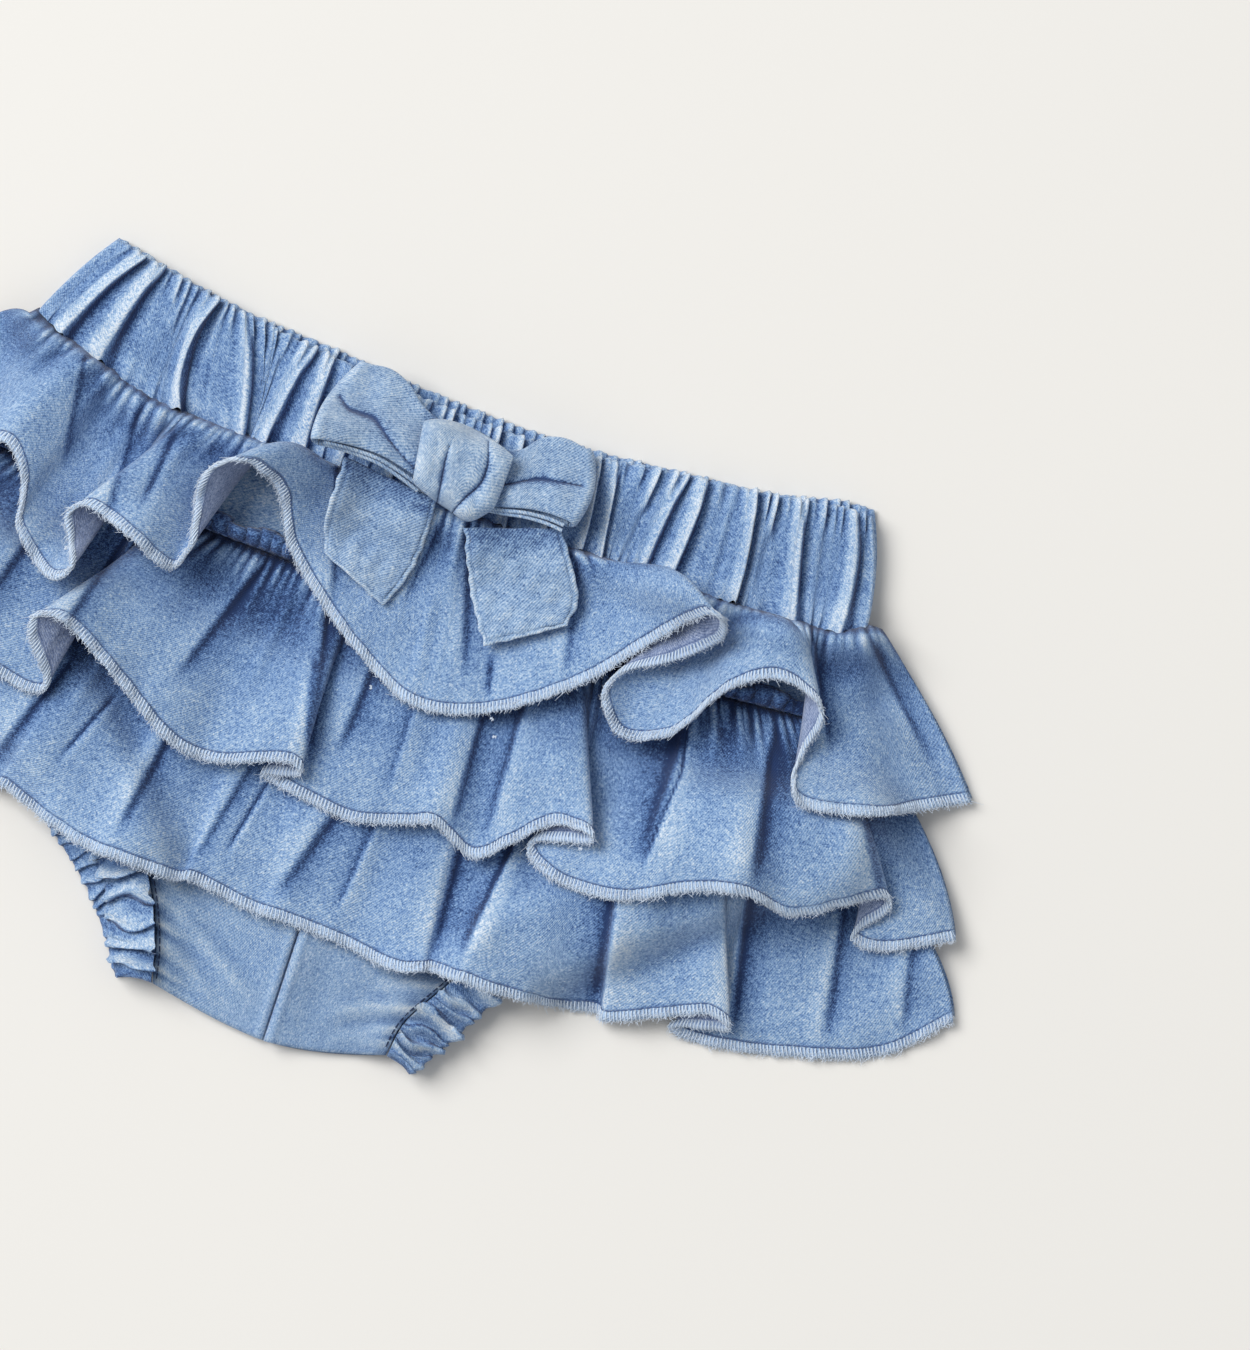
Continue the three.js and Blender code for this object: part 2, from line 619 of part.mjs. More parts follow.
// The bow: two tails, two loops and a knot over them. Each tail is drawn by its two long edges.
const TAILS = {
  left: table(
    ["leftX", "leftY", "rightX", "rightY"],
    [-28, -25, -3, -28], [-28, -33, -2.6, -37], [-27.8, -41, -3.6, -47], [-25.5, -49, -7.5, -57],
  ),
  right: table(
    ["leftX", "leftY", "rightX", "rightY"],
    [5.5, -32, 28.5, -25], [9, -40.5, 33.5, -32], [13.5, -49.5, 38, -40], [19.5, -58.5, 37.3, -47.2],
  ),
};
function tail(name, rows) {
  const curve = through(rows, [0, 0.33, 0.67, 1]);
  const place = (share, v) => {
    const row = curve(v);
    const [x, y] = [lerp(row.leftX, row.rightX, share), lerp(row.leftY, row.rightY, share)];
    const crown = 0.5 * (1 - (2 * share - 1) ** 2);
    return new THREE.Vector3(x, y, layers.rest(x, y, BOW_PLY) + crown);
  };
  sew(name, wall(grid(8, 7, place), BOW_PLY), BOW_DENIM);
}
tail("bow_tail_left", TAILS.left);
tail("bow_tail_right", TAILS.right);

// A loop is one strip that runs out from the knot, turns over at its end and comes back.
const LOOPS = {
  left: { root: -8.5, tip: -35, top: -1.5, bottom: -22.5, pinchTop: -9, pinchBottom: -24 },
  right: { root: 8.5, tip: 30.2, top: -3.2, bottom: -22, pinchTop: -10.5, pinchBottom: -24 },
};
const LOOP_GAP = 1.6; // air inside the flattened loop
const LOOP_SINK = 1.25; // the loop sags this far into the casing's gathers
const LOOP_TURN = 7; // columns from the knot to the turn
function loop(name, { root, tip, top, bottom, pinchTop, pinchBottom }) {
  const turns = 4;
  const columns = 2 * LOOP_TURN + turns;
  const radius = (BOW_PLY + LOOP_GAP) / 2;
  const under = layers.bridged();
  const place = (share, across, i) => {
    const half = columns / 2;
    const near = Math.min(i, columns - i);
    const out = Math.min(near / LOOP_TURN, 1);
    const round = clamp((i - LOOP_TURN) / turns, 0, 1) * Math.PI;
    const end = tip - Math.sign(tip) * radius;
    const spread = Math.sin((out * Math.PI) / 2) ** 0.8;
    const corner = 1 - 0.12 * out ** 4 * (2 * across - 1) ** 4;
    const x = lerp(root, end * corner, out) + Math.sign(tip) * Math.sin(round) * radius;
    const drop = i > half ? -1.4 : 0; // the back ply hangs a little lower
    const upper = lerp(pinchTop, top, spread);
    const lower = lerp(pinchBottom, bottom, spread) + drop;
    const y = lerp(upper, lower, across);
    const base = under.rest(lerp(root, tip, Math.min(out, 0.9)), y - drop, BOW_PLY) - LOOP_SINK;
    const swell = 1.2 * Math.sin(out * Math.PI * 0.8) * (1 - (2 * across - 1) ** 2);
    const z = base + radius * (1 + Math.cos(round)) + (i < half ? swell : 0);
    return new THREE.Vector3(x, y, z);
  };
  const points = grid(columns, 5, place);
  sew(name, wall(tip > 0 ? points : points.reverse(), BOW_PLY), BOW_DENIM);
}
loop("bow_loop_left", LOOPS.left);
loop("bow_loop_right", LOOPS.right);

// The knot: a short wrap over the roots of the loops, drawn in at its top and bottom.
const KNOT = { x: 0, y: -17.8, halfWidth: 11.8, halfHeight: 9.6, crown: 3.2, turn: -0.08 };
function knot() {
  const place = (share, down) => {
    const [a, b] = [2 * share - 1, 2 * down - 1];
    const waisted = 1 - (b > 0 ? 0.22 : 0.14) * b * b;
    const [dx, dy] = [a * KNOT.halfWidth * waisted, -b * KNOT.halfHeight * (1 - 0.12 * a * a)];
    const x = KNOT.x + dx * Math.cos(KNOT.turn) - dy * Math.sin(KNOT.turn);
    const y = KNOT.y + dx * Math.sin(KNOT.turn) + dy * Math.cos(KNOT.turn);
    const crown = KNOT.crown * (1 - a ** 4) * (1 - b ** 4);
    return new THREE.Vector3(x, y, layers.rest(x, y, CLOTH) + crown);
  };
  sew("bow_knot", wall(grid(10, 6, place), CLOTH), BOW_DENIM);
}
knot();

garment.position.y = -MIDDLE_Y;

export default garment;
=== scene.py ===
# A baby's skirt of light blue washed denim with bloomers built in, lying flat on its back.
# The pieces are made one after another from the table up, each laid on those before it.
# Plan positions are in millimetres from the middle of the waist's top edge, x along the waist.
import math

import bpy
import numpy as np
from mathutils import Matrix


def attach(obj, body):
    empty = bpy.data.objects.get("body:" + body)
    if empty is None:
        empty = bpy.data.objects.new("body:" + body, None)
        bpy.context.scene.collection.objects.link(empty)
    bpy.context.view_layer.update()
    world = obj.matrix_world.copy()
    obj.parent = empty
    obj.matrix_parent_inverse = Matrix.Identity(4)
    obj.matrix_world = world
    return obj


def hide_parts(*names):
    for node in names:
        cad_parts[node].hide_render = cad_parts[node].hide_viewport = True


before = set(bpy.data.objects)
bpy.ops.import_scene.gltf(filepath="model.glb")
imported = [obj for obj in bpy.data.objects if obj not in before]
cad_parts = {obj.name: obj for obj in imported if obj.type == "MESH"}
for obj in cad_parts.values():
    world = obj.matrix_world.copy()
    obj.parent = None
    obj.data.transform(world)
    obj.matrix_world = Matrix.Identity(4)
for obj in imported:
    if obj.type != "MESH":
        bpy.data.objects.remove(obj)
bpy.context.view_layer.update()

# The back of the waist casing: one strip of denim folded over an elastic and sewn to the ruffle
# and the bloomers along its lower edge. The elastic draws it into gathers, sharpest at the fold.
MIDDLE_Y = -79.5  # the middle of the garment's length, which is at the frame's origin
CASING = 2.4  # thickness of two plies round the elastic
ROOM = 0.35  # air between one layer and the next


def smooth(rows, knots, at):
    """The smooth curve through rows that lie at the knots, read at other places."""
    rows = np.asarray(rows, float)
    knots = np.asarray(knots, float)
    span = np.diff(knots)
    slope = np.gradient(rows, knots, axis=0)
    at = np.clip(at, knots[0], knots[-1])
    i = np.clip(np.searchsorted(knots, at, side="right") - 1, 0, len(knots) - 2)
    f = ((at - knots[i]) / span[i])[..., None]
    bend = (1 - f) * slope[i] - f * slope[i + 1]
    return rows[i] + (rows[i + 1] - rows[i]) * f * f * (3 - 2 * f) + span[i][..., None] * f * (1 - f) * bend


def even(count):
    """Shares from 0 to 1 at even steps."""
    return np.linspace(0, 1, count)


def curve(rows, share):
    """The smooth curve through rows at even shares of the way."""
    return smooth(rows, even(len(rows)), share)


def by_x(rows, x):
    """A height read off a table of x and y."""
    rows = np.asarray(rows, float)
    return smooth(rows[:, 1:], rows[:, 0], np.asarray(x, float))[..., 0]


def step(value, low, high):
    """0 below low and 1 above high, with a smooth rise between."""
    f = np.clip((value - low) / (high - low), 0, 1)
    return f * f * (3 - 2 * f)


def hump(off, width):
    """1 where off is 0, falling away to nothing on both sides."""
    return np.exp(-((off / width) ** 2))


def mix(a, b, share):
    return a + (b - a) * share


class Layers:
    """How high the laid cloth reaches, millimetre by millimetre over the table."""

    LEFT, BOTTOM, ACROSS, UP = -176, -188, 352, 214
    REACH = 5  # a layer bridges this far round what is under it
    SMOOTHING = (3, 2)

    def __init__(self):
        self.top = np.zeros((self.ACROSS, self.UP))
        self.soft = self.top

    def copy(self):
        made = Layers()
        made.top = self.top.copy()
        made.soft = self.soft.copy()
        return made

    def add(self, points):
        """points is a grid of places on the cloth's upper side."""
        for axis in (0, 1):
            ahead = np.swapaxes(points, 0, axis)
            steps = [mix(ahead[:-1], ahead[1:], share) for share in (0, 0.25, 0.5, 0.75)]
            points = np.swapaxes(np.concatenate([*steps, ahead[-1:]]), 0, axis)
        i = np.clip(np.rint(points[..., 0] - self.LEFT), 0, self.ACROSS - 1).astype(int)
        j = np.clip(np.rint(points[..., 1] - self.BOTTOM), 0, self.UP - 1).astype(int)
        np.maximum.at(self.top, (i, j), points[..., 2])
        self.soft = spread(self.top, self.REACH, np.max)
        for reach in self.SMOOTHING:
            self.soft = spread(self.soft, reach, np.mean)

    def rest(self, x, y, thickness):
        """The height of the middle of cloth that rests on the layers."""
        fx = np.clip(x - self.LEFT, 0, self.ACROSS - 1.001)
        fy = np.clip(y - self.BOTTOM, 0, self.UP - 1.001)
        i = fx.astype(int)
        j = fy.astype(int)
        low = mix(self.soft[i, j], self.soft[i + 1, j], fx - i)
        high = mix(self.soft[i, j + 1], self.soft[i + 1, j + 1], fx - i)
        under = mix(low, high, fy - j)
        return under + thickness / 2 + np.minimum(under * 2, ROOM)


def spread(cells, reach, gather):
    """Each cell becomes the highest, or the mean, of those within reach."""
    for axis, far in enumerate(np.broadcast_to(reach, 2)):
        pad = [(0, 0), (0, 0)]
        pad[axis] = (far, far)
        windows = np.lib.stride_tricks.sliding_window_view(np.pad(cells, pad, "edge"), 2 * far + 1, axis)
        cells = gather(windows, axis=-1)
    return cells


class Wire:
    """An output of a finish's nodes; sums and products of wires and numbers add Math nodes."""

    def __init__(self, finish, socket):
        self.finish = finish
        self.socket = socket

    def maths(self, operation, *values):
        return self.finish.node("ShaderNodeMath", {"operation": operation}, dict(enumerate(values)))

    def __add__(self, other):
        return self.maths("ADD", self, other)

    def __sub__(self, other):
        return self.maths("SUBTRACT", self, other)

    def __rsub__(self, other):
        return self.maths("SUBTRACT", other, self)

    def __mul__(self, other):
        return self.maths("MULTIPLY", self, other)

    __radd__ = __add__
    __rmul__ = __mul__

    def sine(self):
        return self.maths("SINE", self)

    def between(self, low, high):
        """0 below low and 1 above high."""
        sockets = {"Value": self, "From Min": low, "From Max": high}
        return self.finish.node("ShaderNodeMapRange", {"clamp": True}, sockets)


class Finish:
    """The material of a cloth or thread, with one way to add nodes to it."""

    def __init__(self, name, roughness, sheen):
        self.material = bpy.data.materials.new(name)
        self.material.use_nodes = True
        self.tree = self.material.node_tree
        self.shader = self.tree.nodes["Principled BSDF"]
        self.shader.inputs["Roughness"].default_value = roughness
        self.shader.inputs["Sheen Weight"].default_value = sheen
        self.shader.inputs["Specular IOR Level"].default_value = 0.2

    def node(self, kind, settings, sockets, output=0):
        made = self.tree.nodes.new(kind)
        for name, value in settings.items():
            if name == "stops":
                self.set_stops(made.color_ramp.elements, value)
            else:
                setattr(made, name, value)
        for name, value in sockets.items():
            self.put(made.inputs[name], value)
        return Wire(self, made.outputs[output])

    def set_stops(self, elements, stops):
        while len(elements) < len(stops):
            elements.new(0.5)
        for element, (place, colour) in zip(elements, stops):
            element.position = place
            element.color = linear(colour)

    def put(self, socket, value):
        if isinstance(value, Wire):
            self.tree.links.new(value.socket, socket)
        else:
            socket.default_value = value

    def noise(self, place, scale, detail):
        return self.node("ShaderNodeTexNoise", {}, {"Vector": place, "Scale": scale, "Detail": detail})

    def blend(self, share, first, second):
        return self.node("ShaderNodeMix", {"data_type": "RGBA"}, {0: share, 6: first, 7: second}, output=2)


def linear(colour, strength=1):
    """A screen colour, 0 to 255, as linear light of the given strength."""
    shares = np.asarray(colour, float) / 255
    light = np.where(shares < 0.04045, shares / 12.92, ((shares + 0.055) / 1.055) ** 2.4)
    return (*strength * light, 1)


WARP_PITCH = 0.84  # between two ridges of the twill, in millimetres
HEM_BAND = 2.5  # how far the overlocking reaches in from a hem
RIGHT_SIDE = [
    (0, (34, 56, 100)),
    (0.28, (82, 116, 168)),
    (0.5, (124, 157, 202)),
    (0.72, (164, 191, 220)),
    (1, (222, 231, 241)),
]
WRONG_SIDE = [
    (0, (64, 80, 122)),
    (0.3, (108, 126, 166)),
    (0.5, (138, 155, 192)),
    (0.72, (172, 186, 215)),
    (1, (212, 220, 236)),
]
STITCH = 0.95  # along the hem from one crossing thread to the next


def denim(name, shades, twill_shows=0.05, cloudy=0.14, hemmed=False):
    """Washed twill, cloudy and flecked all over. It is paler on its crests, from wash wear and painted
    highlight, and darker in its folds and creases, from painted shade.
    """
    finish = Finish(name, roughness=0.93, sheen=0.25)
    place = finish.node("ShaderNodeAttribute", {"attribute_name": "cloth"}, {}, output=1)
    wear = finish.node("ShaderNodeAttribute", {"attribute_name": "wear"}, {}, output=2)
    along = finish.node("ShaderNodeSeparateXYZ", {}, {"Vector": place})
    down, inside = (Wire(finish, along.socket.node.outputs[k]) for k in (1, 2))
    twill = ((along + down) * (2 * math.pi / WARP_PITCH)).sine()
    clouds = finish.noise(place, 0.11, 3)
    mottle = finish.noise(place, 0.42, 4)
    flecks = finish.noise(place, 1.3, 4)
    drawn_out = finish.node("ShaderNodeVectorMath", {"operation": "MULTIPLY"}, {0: place, 1: (1.5, 0.16, 1)})
    slubs = finish.noise(drawn_out, 1, 3)
    nap = finish.noise(place, 3.1, 3)
    # The last term pales the crests, partly wash wear and partly painted highlight, and darkens hollows,
    # creases and shadowed parts with painted shade.
    shade = (
        0.5
        + (clouds - 0.5) * cloudy
        + (mottle - 0.5) * (0.2 + 0.4 * cloudy)
        + (flecks - 0.5) * 0.95
        + (slubs - 0.5) * 0.5
        + (nap - 0.5) * 1.05
        + twill * twill_shows
        + wear * 0.27
    )
    colour = finish.node("ShaderNodeValToRGB", {"stops": shades}, {"Fac": shade})
    relief = twill * 0.25 + flecks * 1.1 + nap * 0.9
    if hemmed:
        band = 1 - inside.between(HEM_BAND - 0.4, HEM_BAND + 0.05)
        groove = inside.between(HEM_BAND, HEM_BAND + 0.25) - inside.between(HEM_BAND + 0.3, HEM_BAND + 0.75)
        gap = ((along + 0.35) * (2 * math.pi / STITCH)).sine().between(0, 0.8)
        gap = gap * (inside.between(0.9, 1.4) - inside.between(HEM_BAND - 0.3, HEM_BAND))
        # The groove at the needle line is painted shade, and the gaps between crossing threads are the cloth
        # painted darker as shade.
        colour = finish.blend(groove * 0.6, colour, linear((56, 84, 134)))
        colour = finish.blend(band * 0.7, colour, linear((186, 209, 237)))
        colour = finish.blend(gap * 0.75, colour, linear((70, 100, 150)))
    finish.put(finish.shader.inputs["Base Color"], colour)
    bump = finish.node("ShaderNodeBump", {}, {"Height": relief, "Distance": 0.00014, "Strength": 1})
    finish.put(finish.shader.inputs["Normal"], bump)
    return finish.material


DENIM = denim("washed_denim", RIGHT_SIDE)
DENIM_INSIDE = denim("washed_denim_wrong_side", WRONG_SIDE, twill_shows=0.1)


def put_down(name, data):
    """A new object in the scene."""
    made = bpy.data.objects.new(name, data)
    bpy.context.scene.collection.objects.link(made)
    return made


def piece(name, points, faces, materials, attributes, which=None):
    """A mesh that rides on the garment; points are in millimetres."""
    mesh = bpy.data.meshes.new(name)
    mesh.from_pydata((points - (0, MIDDLE_Y, 0)) / 1000, [], faces.tolist())
    mesh.polygons.foreach_set("use_smooth", np.ones(len(faces), bool))
    if which is not None:
        mesh.polygons.foreach_set("material_index", which.astype(np.int32))
    for label, values in attributes.items():
        kind, field = ("FLOAT_VECTOR", "vector") if values.ndim == 2 else ("FLOAT", "value")
        mesh.attributes.new(label, kind, "POINT").data.foreach_set(field, values.astype(np.float32).ravel())
    for material in materials:
        mesh.materials.append(material)
    made = put_down(name, mesh)
    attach(made, "root")
    return made


def unit(ways):
    """The same directions, each one long."""
    return ways / np.maximum(np.linalg.norm(ways, axis=-1, keepdims=True), 1e-9)


def normals(grid):
    """Which way the right side faces at each place of a grid[column][row] of points."""
    return unit(np.cross(np.gradient(grid, axis=1), np.gradient(grid, axis=0)))


def lengths(grid, axis):
    """How far each place lies along its column or row of points."""
    steps = np.diff(grid, axis=axis, prepend=np.take(grid, [0], axis))
    return np.cumsum(np.linalg.norm(steps, axis=-1), axis)


WEAR_AND_SHADE_REACHES = [  # how far round it, in millimetres, a crest is measured against, and the weight of that
    (1.1, 1.4), (3.2, 0.35),
]


def crest_wear_hollow_shade(grid, out):
    """How far each place stands out from the cloth round it, from -1 to 1: paler on crests from wash wear,
    darker in hollows as painted shade.
    """
    pitch = np.array([lengths(grid, axis).max() / grid.shape[axis] for axis in (0, 1)])
    relief = 0
    for reach, weight in WEAR_AND_SHADE_REACHES:
        points = np.maximum(np.round(reach / pitch), 1).astype(int)
        soft = np.stack([spread(grid[..., k], points, np.mean) for k in range(3)], axis=-1)
        relief = relief + ((grid - soft) * out).sum(-1) * weight
    return np.tanh(relief)


def faces_of(at):
    """The squares between neighbouring points, facing the right side."""
    squares = [at[:-1, :-1], at[:-1, 1:], at[1:, 1:], at[1:, :-1]]
    return np.stack(squares, axis=-1).reshape(-1, 4)


def strip_marks(grid, along):
    """The place on the cloth of each point: along the strip, down it, and in from its hem."""
    down = lengths(grid, 1)
    return np.stack([np.broadcast_to(along, down.shape), down, down[:, -1:] - down], axis=-1)


SHELL = 0.55  # thickness of one ply of denim
DARKNESS = 2.5  # how much the painted shade in creases, hollows and shadowed parts darkens the colour


def shell(name, grid, materials, thickness=SHELL, along=None, dark=0, holds=True):
    """A ply of cloth over a grid of points, right side up, with its wrong side and its edges.
    dark is painted shade in its creases, hollows and shadowed parts, paler where it is below 0, and holds
    says whether later layers rest on it."""
    out = normals(grid)
    thick = np.broadcast_to(thickness, grid.shape[:2])[..., None] / 2
    upper = grid + out * thick
    lower = grid - out * thick
    lower[..., 2] = np.maximum(lower[..., 2], 0.02)
    upper[..., 2] = np.maximum(upper[..., 2], 0.04)
    count = grid.shape[0] * grid.shape[1]
    at = np.arange(count).reshape(grid.shape[:2])
    rim = np.concatenate([at[:-1, 0], at[-1, :-1], at[:0:-1, -1], at[0, :0:-1]])
    ahead = np.roll(rim, -1)
    sides = np.stack([rim, ahead, ahead + count, rim + count], axis=-1)
    faces = np.concatenate([faces_of(at), faces_of(at)[:, ::-1] + count, sides])
    which = np.zeros(len(faces))
    which[len(faces_of(at)) : 2 * len(faces_of(at))] = 1
    along = lengths(grid, 0).mean(1)[:, None] if along is None else along
    marks = np.tile(strip_marks(grid, along).reshape(-1, 3), (2, 1))
    relief = crest_wear_hollow_shade(grid, out).ravel()
    # The painted shade given as dark is taken off the relief.
    wear = relief - (DARKNESS * dark + 0 * grid[..., 0]).ravel()
    attributes = {"cloth": marks, "wear": np.concatenate([wear, -0.5 * relief])}
    points = np.concatenate([upper.reshape(-1, 3), lower.reshape(-1, 3)])
    made = piece(name, points, faces, materials, attributes, which)
    if holds:
        laid.add(upper)
    return made


def folded(name, grid, dark, materials):
    """A strip that is folded over an elastic: the grid's rows run up its face, over and down."""
    out = -normals(grid)
    faces = faces_of(np.arange(grid.shape[0] * grid.shape[1]).reshape(grid.shape[:2]))
    along = lengths(grid, 0).mean(1)[:, None]
    points = grid.copy()
    points[..., 2] = np.maximum(points[..., 2], 0.02)
    attributes = {
        "cloth": strip_marks(grid, along).reshape(-1, 3),
        "wear": (crest_wear_hollow_shade(grid, out) - DARKNESS * dark).ravel(),
    }
    made = piece(name, points.reshape(-1, 3), faces[:, ::-1], materials, attributes)
    laid.add(points)
    return made


def ridges(at, gathers, reach):
    """The height of gathers, each with a place, half its width and a height, under a fade.
    Each falls off steeply on its right, to a groove."""
    off = (at[:, None] - gathers[:, 0]) / gathers[:, 1]
    crest = hump(off, np.where(off > 0, 0.75, 1.15))
    groove = 0.4 * hump(off - 1.7, 0.6)
    return ((crest - groove) * gathers[:, 2]).sum(1, keepdims=True) * reach


def tapering(at, gathers, down):
    """The height of gathers that widen and die out down the cloth: place, half width and height
    of each, and the share of the way down at which it ends."""
    height = 0
    for place, half, tall, end in gathers:
        wide = half * (1 + 1.3 * down / end)
        height = height + tall * hump(at - place, wide) * (1 - step(down, 0.05 * end, end))
    return height * mix(0.25, 1, step(down, 0, 0.06))


FACE_ROWS = 26  # of points down a casing's face
FOLD_ROWS = 6  # round the fold at its rim
INNER_ROWS = 8  # and down its inner side
FACE_DOWN = even(FACE_ROWS)[None] ** 1.25  # the rows lie closer together near the rim
LEAN = 0.55  # a gather leans over by this share of its height


def casing(name, rim, seam, sideways, middle, height, thickness, painted_contrast=0):
    """The folded strip between a rim and a seam, both given as plan points column by column.
    height is how far each column stands proud, over the rows from the rim to the seam."""
    ends = np.minimum(np.arange(len(rim)), np.arange(len(rim))[::-1]) * 0.45
    half = thickness / 2 * np.sqrt(np.clip(1 - (1 - np.minimum(ends, 1)) ** 2, 0.01, 1))[:, None]
    outward = unit(rim - seam)
    tangent = unit(np.gradient(rim, axis=0))
    inner = even(INNER_ROWS + 1)[None, 1:]
    turn = math.pi * even(FOLD_ROWS + 1)[None, 1:]
    top = rim - outward * half
    rim_height = height[:, :1]

    def lay(share, over, proud):
        share, over, proud, _ = np.broadcast_arrays(share, over, proud, rim_height)
        plan = mix(top[:, None], seam[:, None], share[..., None])
        aside = sideways[:, None] * 4 * share * (1 - share) + proud * LEAN
        plan = plan + aside[..., None] * tangent[:, None]
        plan = plan + outward[:, None] * (half * np.sin(over))[..., None]
        x, y = plan[..., 0], plan[..., 1]
        z = middle(x, y, share) + half * np.cos(over) + proud * (1 + np.cos(over)) / 2
        return np.stack([x, y, z], axis=-1)

    face = lay(FACE_DOWN, 0, height)[:, ::-1]
    over = lay(0, turn, rim_height)
    back = lay(inner, math.pi, 0)
    # Painted shade on the steep falling side of each gather and, for the leg casings, in the valleys between
    # them; painted highlight on the crests.
    fall = -np.gradient(height, axis=0) / lengths(rim[:, None], 0)[-1] * len(rim)
    dark = (0.7 + painted_contrast) * np.clip(fall - 0.35, 0, 1) - 0.36 * step(height, 0.4, 1.4) + 0.06
    dark = (dark + 2 * painted_contrast * (1 - step(height, -0.2, 0.5)) - painted_contrast)[:, ::-1]
    dark = np.concatenate([dark, np.repeat(dark[:, -1:], FOLD_ROWS + INNER_ROWS, axis=1)], axis=1)
    return folded(name, np.concatenate([face, over, back], axis=1), dark, [DENIM])


WAIST_TOP = [  # x, back edge, front edge
    [-100, 10, 9.5], [-80, 5.4, 4.9], [-60, 2, 1.2], [-40, 0.5, -1.4], [-20, -1.5, -3.8],
    [0, -3, -5.3], [20, -3.5, -5.7], [36, -2.8, -4], [50, -1.6, -2.2], [80, 1.5, 0.9],
    [92, 4.3, 2.8], [101, 5, 3.2],
]
WAIST_SEAM = [  # x, y
    [-113, -14], [-105, -18], [-95, -21], [-85, -24.5], [-70, -27], [-50, -27.5], [0, -28.5],
    [50, -28.5], [90, -28.5], [100, -27.5], [109, -24],
]
LEFT_FOLD = [-99.5, -112.5, -1]  # top, seam, sideways bow
RIGHT_FOLD = [101, 108.5, 1.5]


def small_gathers(seed, start, end, pitch, half_width, heights):
    """Gathers at uneven steps: place, half width and height of each."""
    draw = np.random.default_rng(seed)
    count = int((end - start) / pitch)
    places = start + (np.arange(count) + 0.5 + draw.uniform(-0.3, 0.3, count)) * (end - start) / count
    return np.stack([places, draw.uniform(*half_width, count), draw.uniform(*heights, count)], axis=1)


def waist_casing(name, columns, top_column, gathers, middle, seed):
    """gathers has top, seam, bow, height, width and reach of each of the large ones."""
    drawn = np.array([[*LEFT_FOLD, 0, 1, 1], *gathers, [*RIGHT_FOLD, 0, 1, 1]])
    at = np.linspace(LEFT_FOLD[0], RIGHT_FOLD[0], columns)
    seam_x = smooth(drawn[:, 1:3], drawn[:, 0], at)
    rim = np.stack([at, by_x([[row[0], row[top_column]] for row in WAIST_TOP], at)], axis=1)
    rim_gathers = small_gathers(seed, -98, 100, 2.5, (0.55, 1), (0.35, 1))
    rim[:, 1:] += 0.75 * ridges(at, rim_gathers, 1) - 0.35
    seam = np.stack([seam_x[:, 0], by_x(WAIST_SEAM, seam_x[:, 0])], axis=1)
    down = FACE_DOWN
    height = 0
    for top, _, _, tall, width, reach in drawn[1:-1]:
        fade = 1 - step(down, reach * 0.6, reach * 1.02) if reach < 1 else 1 + 0 * down
        one = np.array([[top, width * 0.48, tall * 1.25]])
        height = height + ridges(at, one, fade * mix(0.75, 1, step(down, 0, 0.2)))
    seam_gathers = small_gathers(seed + 1, -98, 100, 3.4, (0.6, 1.1), (0.2, 0.8))
    long_gathers = small_gathers(seed + 2, -96, 99, 6.5, (0.8, 1.6), (0.15, 0.5))
    height = height + ridges(at, rim_gathers, 1.2 * (1 - step(down, 0.02, 0.3)))
    height = height + ridges(at, seam_gathers, step(down, 0.7, 1))
    height = height + ridges(at, long_gathers, 1 + 0 * down)
    return casing(name, rim, seam, seam_x[:, 1], middle, height, CASING)


laid = Layers()
waist_back = waist_casing(
    "waist_casing_back",
    columns=380,
    top_column=1,
    gathers=[[-88 + 16 * i, -97 + 17.6 * i, 0, 0.5, 5, 1] for i in range(12)],
    middle=lambda x, y, down: CASING / 2 + 0 * x,
    seed=11,
)
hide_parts("waistband_back")

# The back ruffles: three gathered lengths of denim with overlocked hems, pressed flat between
# the bloomers and the table by the weight of what lies on them.
DENIM_HEMMED = denim("washed_denim_hemmed", RIGHT_SIDE, hemmed=True)
DENIM_INSIDE_HEMMED = denim("washed_denim_wrong_side_hemmed", WRONG_SIDE, twill_shows=0.1, hemmed=True)
ROOT_TUCK = 0.7  # the top ruffle starts this far under the casing
ROOTS = {
    "top": lambda x: by_x(WAIST_SEAM, x) + ROOT_TUCK,
    "middle": lambda x: -54 + 5 * (x / 116) ** 2,
    "bottom": lambda x: -80 + 7 * (x / 118) ** 2,
}
LAYER = 1  # room that one ply with its nap takes up
BACK_FULLNESS = 1.05  # the cloth of a back ruffle's hem over the width that it lies in
BACK_RUFFLES = {  # left and right ends of the root, side x, side y, depth, bulge at the sides
    "top": [-112.5, 112, 147, -56, 43, 0, 2],
    "middle": [-116, 116, 154, -90, 44, -5, 5],
    "bottom": [-118, 118, 160, -109, 53, -7, 7],
}
for tier, (left, right, side_x, side_y, depth, left_bulge, right_bulge) in BACK_RUFFLES.items():
    share = even(190)[:, None]
    v = even(18)[None]
    side = 2 * share - 1
    start = mix(left, right, share)
    scallop = 1.4 * np.sin(share * 18 * math.pi) * (1 - side**4)
    hem_y = mix(ROOTS[tier](0.0) - depth, side_y, side * side) + scallop
    bulge = mix(left_bulge, right_bulge, share) * np.abs(side) * 4 * v * (1 - v)
    x = mix(start, side * side_x, v) + bulge
    y = mix(ROOTS[tier](start), hem_y, v)
    gathers = small_gathers(len(tier), left, right, 3.6, (0.8, 1.3), (0.1, 0.3))
    crimp = ridges(start[:, 0], gathers, 1 - step(v, 0, 0.4))
    grid = np.stack([x, y, laid.rest(x, y, LAYER) + crimp], axis=-1)
    made = shell(f"ruffle_{tier}_back_cloth", grid, [DENIM_HEMMED, DENIM_INSIDE_HEMMED])
    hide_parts(f"ruffle_{tier}_back")
    flat = (2 * BACK_FULLNESS * side_x / 1000, depth / 1000)

